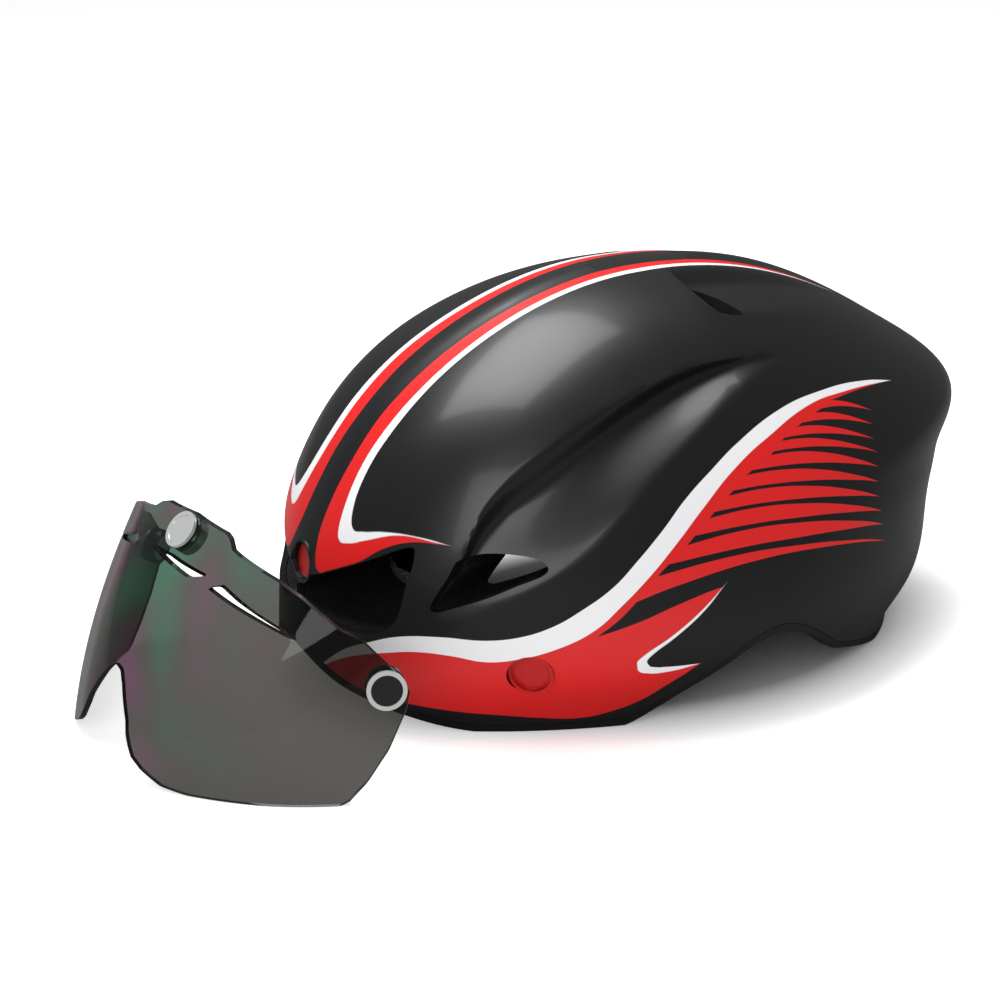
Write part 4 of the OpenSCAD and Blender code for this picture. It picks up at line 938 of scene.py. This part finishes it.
def head_band(name, side):
    """Half of the headband, from its rack round the wall to its anchor."""
    rise = BAND_RISE * side
    points = [[BAND_STARTS[0], BAND_Y, DIAL_Z + rise], [BAND_STARTS[1], BAND_Y, DIAL_Z + 0.9 * rise]]
    for i in range(10):
        z = DIAL_Z + (0.3 * rise if i == 0 else 0)
        points.append(hollow_at(BAND_REAR - BAND_SWEEP * i / 9, z, BAND_DEEP))
    path = smooth_line(points, 80)
    return ribbon(name, flip(path, side), np.tile([0, 0, 1.0], (80, 1)), BAND_W, BAND_T)


# Pads: points over which they swell, gap and thickness on the wall and the crown, half a crown pad's width
PAD_EDGE, WALL_GAP, WALL_PAD, CROWN_GAP, CROWN_PAD, CROWN_HALF = 3.5, 0.9, 5.1, 0.6, 5.4, 11


def pad_grid(name, place, across, along, thick, channels):
    """Crowned pad: place(u, v, depth) gives its points, u across, v along."""
    u, v = np.meshgrid(np.linspace(0, 1, across), np.linspace(0, 1, along))
    inside = np.minimum(np.minimum(u, 1 - u) * across / PAD_EDGE, np.minimum(v, 1 - v) * along / PAD_EDGE)
    crown = 0.3 + 0.7 * np.sqrt(1 - (1 - np.clip(inside, 0, 1)) ** 2)
    for k in range(channels):
        crown = crown * (1 - 0.4 * np.exp(-(((v - (k + 1) / (channels + 1)) / 0.022) ** 2)))
    points = [place(u, v, depth).reshape(-1, 3) for depth in (thick * crown, 0 * crown)]
    obj = finish_mesh(name, np.concatenate(points), slab_faces(across, along))
    shade(obj, 75)
    return obj


def wall_pad(name, start, end, low, high, channels=3):
    """Pad on the cavity's wall between two angles and two shares of the height."""
    def place(u, v, d):
        return hollow_at(start + (end - start) * v, (low + (high - low) * u) * HEIGHT, WALL_GAP + d)
    return pad_grid(name, place, 28, 60, WALL_PAD, channels)


def ceiling_at(x, y):
    """Height of the cavity's ceiling over a place."""
    reach = np.where(y < 0, CAVITY_FRONT, CAVITY_REAR)
    r = (np.abs(x / CAVITY_HALF) ** CAVITY_SQUARE + np.abs(y / reach) ** CAVITY_SQUARE) ** (1 / CAVITY_SQUARE)
    return CAVITY_TOP * np.maximum(0, 1 - r * r) ** 0.4


def crown_pad(name, start, end):
    """Pad under the crown between two places along the helmet."""
    def place(u, v, d):
        x, y = -CROWN_HALF + 2 * CROWN_HALF * u, start + (end - start) * v
        return np.stack([x, y, ceiling_at(x, y) - CROWN_GAP - d], -1)
    return pad_grid(name, place, 20, 50, CROWN_PAD, 3)


def nape_cushion():
    def place(u, v, d):
        return np.stack([22 - 44 * v, DIAL_Y - 0.3 - d, DIAL_Z - 12 + 24 * u], -1)
    return pad_grid("nape_cushion", place, 24, 44, 5.0, 2)


def chin_cushion():
    def place(u, v, d):
        return np.stack([29 + 18 * v, BUCKLE_Y - 9 + 18 * u, 2.8 + d], -1)
    return pad_grid("chin_cushion", place, 22, 22, 4.0, 1)


# Settings
def paint_property(name, description, colour):
    return bpy.props.FloatVectorProperty(name=name, description=description, subtype="COLOR", size=3,
                                         default=srgb(*colour)[:3], min=0, max=1)


def count_property(name, description, default, low, high):
    return bpy.props.IntProperty(name=name, description=description, default=default, min=low, max=high)


def lamp_property(name, description, default):
    return bpy.props.FloatProperty(name=name, description=description, default=default, min=0, unit="POWER")


class HelmetLook(bpy.types.PropertyGroup):
    black: paint_property("Black paint", "Ground colour of the shell", (20, 21, 23))
    red: paint_property("Red paint", "Colour of the swoosh and stripes", (226, 22, 22))
    white: paint_property("White paint", "Colour of the thin lines", (246, 246, 248))
    fine_columns: count_property("Shell columns", "Faces round the painted shell", 480, 80, 600)
    fine_rows: count_property("Shell rows", "Faces up the painted shell", 132, 30, 200)


class LightLook(bpy.types.PropertyGroup):
    key: lamp_property("Key lamp", "Power of the lamp above", 16.0)
    fill: lamp_property("Fill lamp", "Power of the lamp at the side", 6.0)
    floor: bpy.props.FloatProperty(name="Floor size", description="Edge of the floor", default=8.0, min=1,
                                   unit="LENGTH")


# Studio: lamps in metres; the camera in degrees round and up, and in millimetres from the point it looks at
KEY_PLACE, KEY_AIM, KEY_SIZE = (-0.35, -0.15, 1.15), (0, 0, 0.05), 0.9
FILL_PLACE, FILL_AIM, FILL_SIZE = (0.9, -0.9, 0.7), (0, -0.05, 0.05), 0.8
CAMERA_SPIN, CAMERA_RISE, CAMERA_REACH = 28.27, 20.62, 782.4
CAMERA_AIM = (-14.65, -44.83, 55.84)
SENSOR, FOCAL = 36, 2.0533
# Radii of the seats' bores in the shell and in the foam, and of the caps' stems through the lens
SEAT_R, FOAM_SEAT_R, STEM_R = 8.06, 8.3, 4.3
# Gap between the shell's lining and the foam
FOAM_GAP = 0.3


def wall_surface(depth):
    return lambda a, z: shell_at(a, z, depth)


def ridged_skin(angle, z):
    """Shell's skin with the crown's ridge, which stops short of the very top."""
    p = shell_at(angle, z)
    p[..., 2] += np.where(p[..., 2] < HEIGHT - 1.2, crown_ridge(p[..., 0], p[..., 1], p[..., 2]), 0)
    return p


# Operators
class HELMET_OT_shell(bpy.types.Operator):
    """Painted outer shell with its vents, scoops and seats"""
    bl_idname = "helmet.shell"
    bl_label = "Painted shell"

    def execute(self, context):
        look = context.scene.helmet_look
        obj = thick_dome("shell_paint", ridged_skin, wall_surface(SKIN), look.fine_columns,
                         look.fine_columns // 4, look.fine_rows, 30, (HEIGHT, HEIGHT - SKIN))
        give(obj, painted_shell("shell_gloss", look))
        obj.data.materials.append(moulded("shell_lining", srgb(13, 13, 14), 0.8, Specular_IOR_Level=0.15))
        carve(obj, air_cutters() + seat_cutters(SEAT_R))
        store_angles(obj)
        shade(obj, 38)
        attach(obj, "helmet")
        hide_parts("outer_shell")
        return {"FINISHED"}


def edge_strip():
    """Strip along the rim, from its section's depths under the skin and rises over the rim."""
    section = [(0.7, 0), (0.15, 0.25), (0, 0.8), (0, EDGE_H), (EDGE_W, EDGE_H), (EDGE_W, 0.5),
               (EDGE_W - 0.6, 0)]
    angles = np.arange(240) * 1.5
    low = rim_at(angles)
    verts = np.stack([shell_at(angles, low + rise, depth) for depth, rise in section], 1).reshape(-1, 3)
    n, k = len(angles), len(section)
    faces = []
    for i in range(n):
        for j in range(k):
            a, b = i * k, ((i + 1) % n) * k
            faces.append((a + j, a + (j + 1) % k, b + (j + 1) % k, b + j))
    return finish_mesh("edge_strip", verts, faces)


class HELMET_OT_liner(bpy.types.Operator):
    """Foam liner under the shell and the edge strip round the rim"""
    bl_idname = "helmet.liner"
    bl_label = "Foam liner and edge strip"

    def execute(self, context):
        depth = SKIN + FOAM_GAP
        obj = thick_dome("foam_body", wall_surface(depth), hollow_at, 160, 160, 44, 40,
                         (HEIGHT - depth, CAVITY_TOP))
        for poly in obj.data.polygons:
            poly.material_index = 0
        give(obj, foam_material("liner_foam", (0.012, 0.012, 0.013, 1)))
        carve(obj, air_cutters() + seat_cutters(FOAM_SEAT_R))
        shade(obj, 35)
        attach(obj, "helmet")
        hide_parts("foam_liner")
        strip = edge_strip()
        give(strip, moulded("edge_black", srgb(22, 22, 23), 0.42))
        shade(strip, 40)
        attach(strip, "helmet")
        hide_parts("rim_trim")
        return {"FINISHED"}


class HELMET_OT_pads(bpy.types.Operator):
    """Knit covered pads inside the cavity"""
    bl_idname = "helmet.pads"
    bl_label = "Pads"

    def execute(self, context):
        cloth = knit_material("pad_knit")
        pieces = {
            "front_pad": [wall_pad("brow_pad", -38, 38, 0.2, 0.3)],
            "side_pad_left": [wall_pad("temple_pad_left", 62, 104, 0.46, 0.62, channels=2)],
            "side_pad_right": [wall_pad("temple_pad_right", -104, -62, 0.46, 0.62, channels=2)],
            "crown_pads": [crown_pad("crown_pad_front", -62.4, -8.3), crown_pad("crown_pad_rear", 0, 56)],
            "nape_pad": [nape_cushion()],
            "chin_pad": [chin_cushion()],
        }
        for node, made in pieces.items():
            for obj in made:
                give(obj, cloth)
                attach(obj, "helmet")
                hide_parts(node)
        return {"FINISHED"}


class HELMET_OT_straps(bpy.types.Operator):
    """Webbing of the harness and the headband"""
    bl_idname = "helmet.straps"
    bl_label = "Straps and headband"

    def execute(self, context):
        web = webbing_material("harness_web")
        nylon = moulded("band_nylon", srgb(38, 38, 40), 0.5)
        for side, word in ((1, "left"), (-1, "right")):
            for kind, route in (("front", FRONT_ROUTE), ("rear", REAR_ROUTE)):
                strap = wall_strap("web_%s_%s" % (kind, word), route, side)
                give(strap, web)
                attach(strap, "helmet")
                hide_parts("strap_%s_%s" % (kind, word))
            band = head_band("band_" + word, side)
            give(band, nylon)
            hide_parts("headband_" + word)
            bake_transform(band)
        left = chin_strap("web_chin_left", 16.3, 28.0, 1)
        give(left, web)
        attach(left, "helmet")
        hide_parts("chin_strap_left")
        right = chin_strap("web_chin_right", 12.1, 37.0, -1)
        give(right, web)
        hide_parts("chin_strap_right")
        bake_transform(right)
        return {"FINISHED"}


class HELMET_OT_fittings(bpy.types.Operator):
    """Finishes of the hard pieces that keep their solids"""
    bl_idname = "helmet.fittings"
    bl_label = "Dial, seats and buckle"

    def execute(self, context):
        black = moulded("fitting_black", srgb(26, 26, 27), 0.42, 1500.0, 0.2)
        knob = moulded("knob_black", srgb(30, 30, 32), 0.5, 2200.0, 0.3)
        steel = moulded("plated_steel", (0.55, 0.55, 0.56, 1), 0.28, 2500.0, 0.05, Metallic=1.0)
        acetal = moulded("white_acetal", srgb(225, 222, 212), 0.35, 1200.0, 0.08)
        red = moulded("seat_red", srgb(196, 16, 17), 0.3, 1400.0, 0.04, Coat_Weight=0.3)
        dark = moulded("seat_black", srgb(24, 24, 25), 0.35, 1400.0, 0.04)
        finishes = {
            black: ["dial_housing", "dial_cover", "band_anchors", "cradle_posts", "strap_anchors",
                    "strap_divider_left", "strap_divider_right", "buckle_socket", "buckle_plug",
                    "strap_keeper", "rack_left", "rack_right"],
            knob: ["dial_knob"],
            steel: ["dial_screw", "click_spring", "visor_magnets"],
            acetal: ["dial_pinion"],
            red: ["left_seat_cup", "right_seat_cup", "seat_magnets"],
            dark: ["front_seat_cup"],
        }
        for material, names in finishes.items():
            for name in names:
                give(NODES[name], material)
        return {"FINISHED"}


class HELMET_OT_visor(bpy.types.Operator):
    """Tinted lens, its slots and its magnet caps"""
    bl_idname = "helmet.visor"
    bl_label = "Visor"

    def execute(self, context):
        lens = lens_solid()
        cutters = [slot_cutter(s) for s in SLOTS]
        for place in (BROW_CAP, TEMPLE_CAP, (-TEMPLE_CAP[0], TEMPLE_CAP[1])):
            m = lens_frame(place)
            cutters.append(round_cutter("stem_hole", m.translation, m.to_3x3().col[2], STEM_R, 12))
        carve(lens, cutters)
        give(lens, tinted_lens("smoke_lens"))
        edge = moulded("lens_edge", (0.012, 0.013, 0.013, 1), 0.2, 900.0, 0.02)
        lens.data.materials.append(edge)
        inverse = visor_matrix().inverted()
        turn = inverse.to_3x3()
        # Share of the coating's painted reflection at each point of the lens
        coating = lens.data.attributes.new("coating", "FLOAT", "POINT")
        for i, vert in enumerate(lens.data.vertices):
            p = inverse @ (vert.co / MM)
            coating.data[i].value = float(ramp((COATING_END - lens_angle(p.x)) / COATING_FADE)
                                          * ramp((p.z - COATING_FOOT) / COATING_RISE))
        for poly in lens.data.polygons:
            p = inverse @ (poly.center / MM)
            n = turn @ poly.normal
            angle = lens_angle(p.x)
            q = lens_at(angle, p.z)
            side = Vector(lens_at(angle + 1, p.z) - q)
            out = side.cross(Vector(lens_at(angle, p.z + 0.3) - q)).normalized()
            poly.material_index = 1 if abs(out.dot(n)) < 0.45 else 0
        shade(lens, 30)
        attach(lens, "visor")
        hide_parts("visor_lens")
        # Chrome partly painted: at Metallic 0.6 a near-white diffuse share stands in for the brightness of
        # its reflections
        chrome_and_painted_sheen = moulded("cap_chrome_painted_sheen", (0.86, 0.86, 0.87, 1), 0.12, 2500.0, 0.01, Metallic=0.6)
        dark = moulded("cap_black", srgb(28, 28, 30), 0.25, 1200.0, 0.03)
        for name in ("temple_cap_left", "temple_cap_right"):
            give(NODES[name], dark)
        give(NODES["cap_rings"], chrome_and_painted_sheen)
        give(NODES["brow_cap"], chrome_and_painted_sheen)
        return {"FINISHED"}


class HELMET_OT_stage(bpy.types.Operator):
    """White floor, soft lamps and the camera"""
    bl_idname = "helmet.stage"
    bl_label = "Studio"

    def execute(self, context):
        light = context.scene.helmet_light
        clear_selection()
        bpy.ops.mesh.primitive_plane_add(size=light.floor)
        floor = context.active_object
        floor.name = "studio_floor"
        floor.data.materials.append(floor_material("studio_white"))
        context.scene.world = studio_world("studio_world")
        for name, place, aim, size, power in (("key", KEY_PLACE, KEY_AIM, KEY_SIZE, light.key),
                                              ("fill", FILL_PLACE, FILL_AIM, FILL_SIZE, light.fill)):
            lamp = bpy.data.lights.new(name, "AREA")
            lamp.size = size
            lamp.energy = power
            obj = bpy.data.objects.new(name, lamp)
            context.scene.collection.objects.link(obj)
            obj.location = place
            obj.rotation_euler = (Vector(place) - Vector(aim)).to_track_quat("Z", "Y").to_euler()
        camera = bpy.data.cameras.new("camera")
        camera.sensor_width = SENSOR
        camera.lens = SENSOR * FOCAL
        eye = bpy.data.objects.new("camera", camera)
        context.scene.collection.objects.link(eye)
        spin, rise = math.radians(CAMERA_SPIN), math.radians(CAMERA_RISE)
        back = Vector((math.cos(spin) * math.cos(rise), -math.sin(spin) * math.cos(rise), math.sin(rise)))
        eye.location = (Vector(CAMERA_AIM) + back * CAMERA_REACH) * MM
        eye.rotation_euler = back.to_track_quat("Z", "Y").to_euler()
        context.scene.camera = eye
        context.scene.view_settings.view_transform = "Standard"
        return {"FINISHED"}


class HELMET_PT_panel(bpy.types.Panel):
    """Buttons for each group of pieces"""
    bl_idname = "HELMET_PT_panel"
    bl_label = "Helmet"
    bl_space_type = "VIEW_3D"
    bl_region_type = "UI"
    bl_category = "Helmet"

    def draw(self, context):
        for operator in OPERATORS:
            self.layout.operator(operator.bl_idname)
        for name in ("black", "red", "white"):
            self.layout.prop(context.scene.helmet_look, name)
        for name in ("key", "fill", "floor"):
            self.layout.prop(context.scene.helmet_light, name)


OPERATORS = [HELMET_OT_stage, HELMET_OT_shell, HELMET_OT_liner, HELMET_OT_pads, HELMET_OT_straps,
             HELMET_OT_fittings, HELMET_OT_visor]
CLASSES = [HelmetLook, LightLook] + OPERATORS + [HELMET_PT_panel]


def register():
    for item in CLASSES:
        bpy.utils.register_class(item)
    bpy.types.Scene.helmet_look = bpy.props.PointerProperty(type=HelmetLook)
    bpy.types.Scene.helmet_light = bpy.props.PointerProperty(type=LightLook)


def unregister():
    del bpy.types.Scene.helmet_look
    del bpy.types.Scene.helmet_light
    for item in reversed(CLASSES):
        bpy.utils.unregister_class(item)


def main():
    register()
    for operator in (bpy.ops.helmet.stage, bpy.ops.helmet.shell, bpy.ops.helmet.liner, bpy.ops.helmet.pads,
                     bpy.ops.helmet.straps, bpy.ops.helmet.fittings, bpy.ops.helmet.visor):
        operator()


if __name__ == "__main__":
    main()
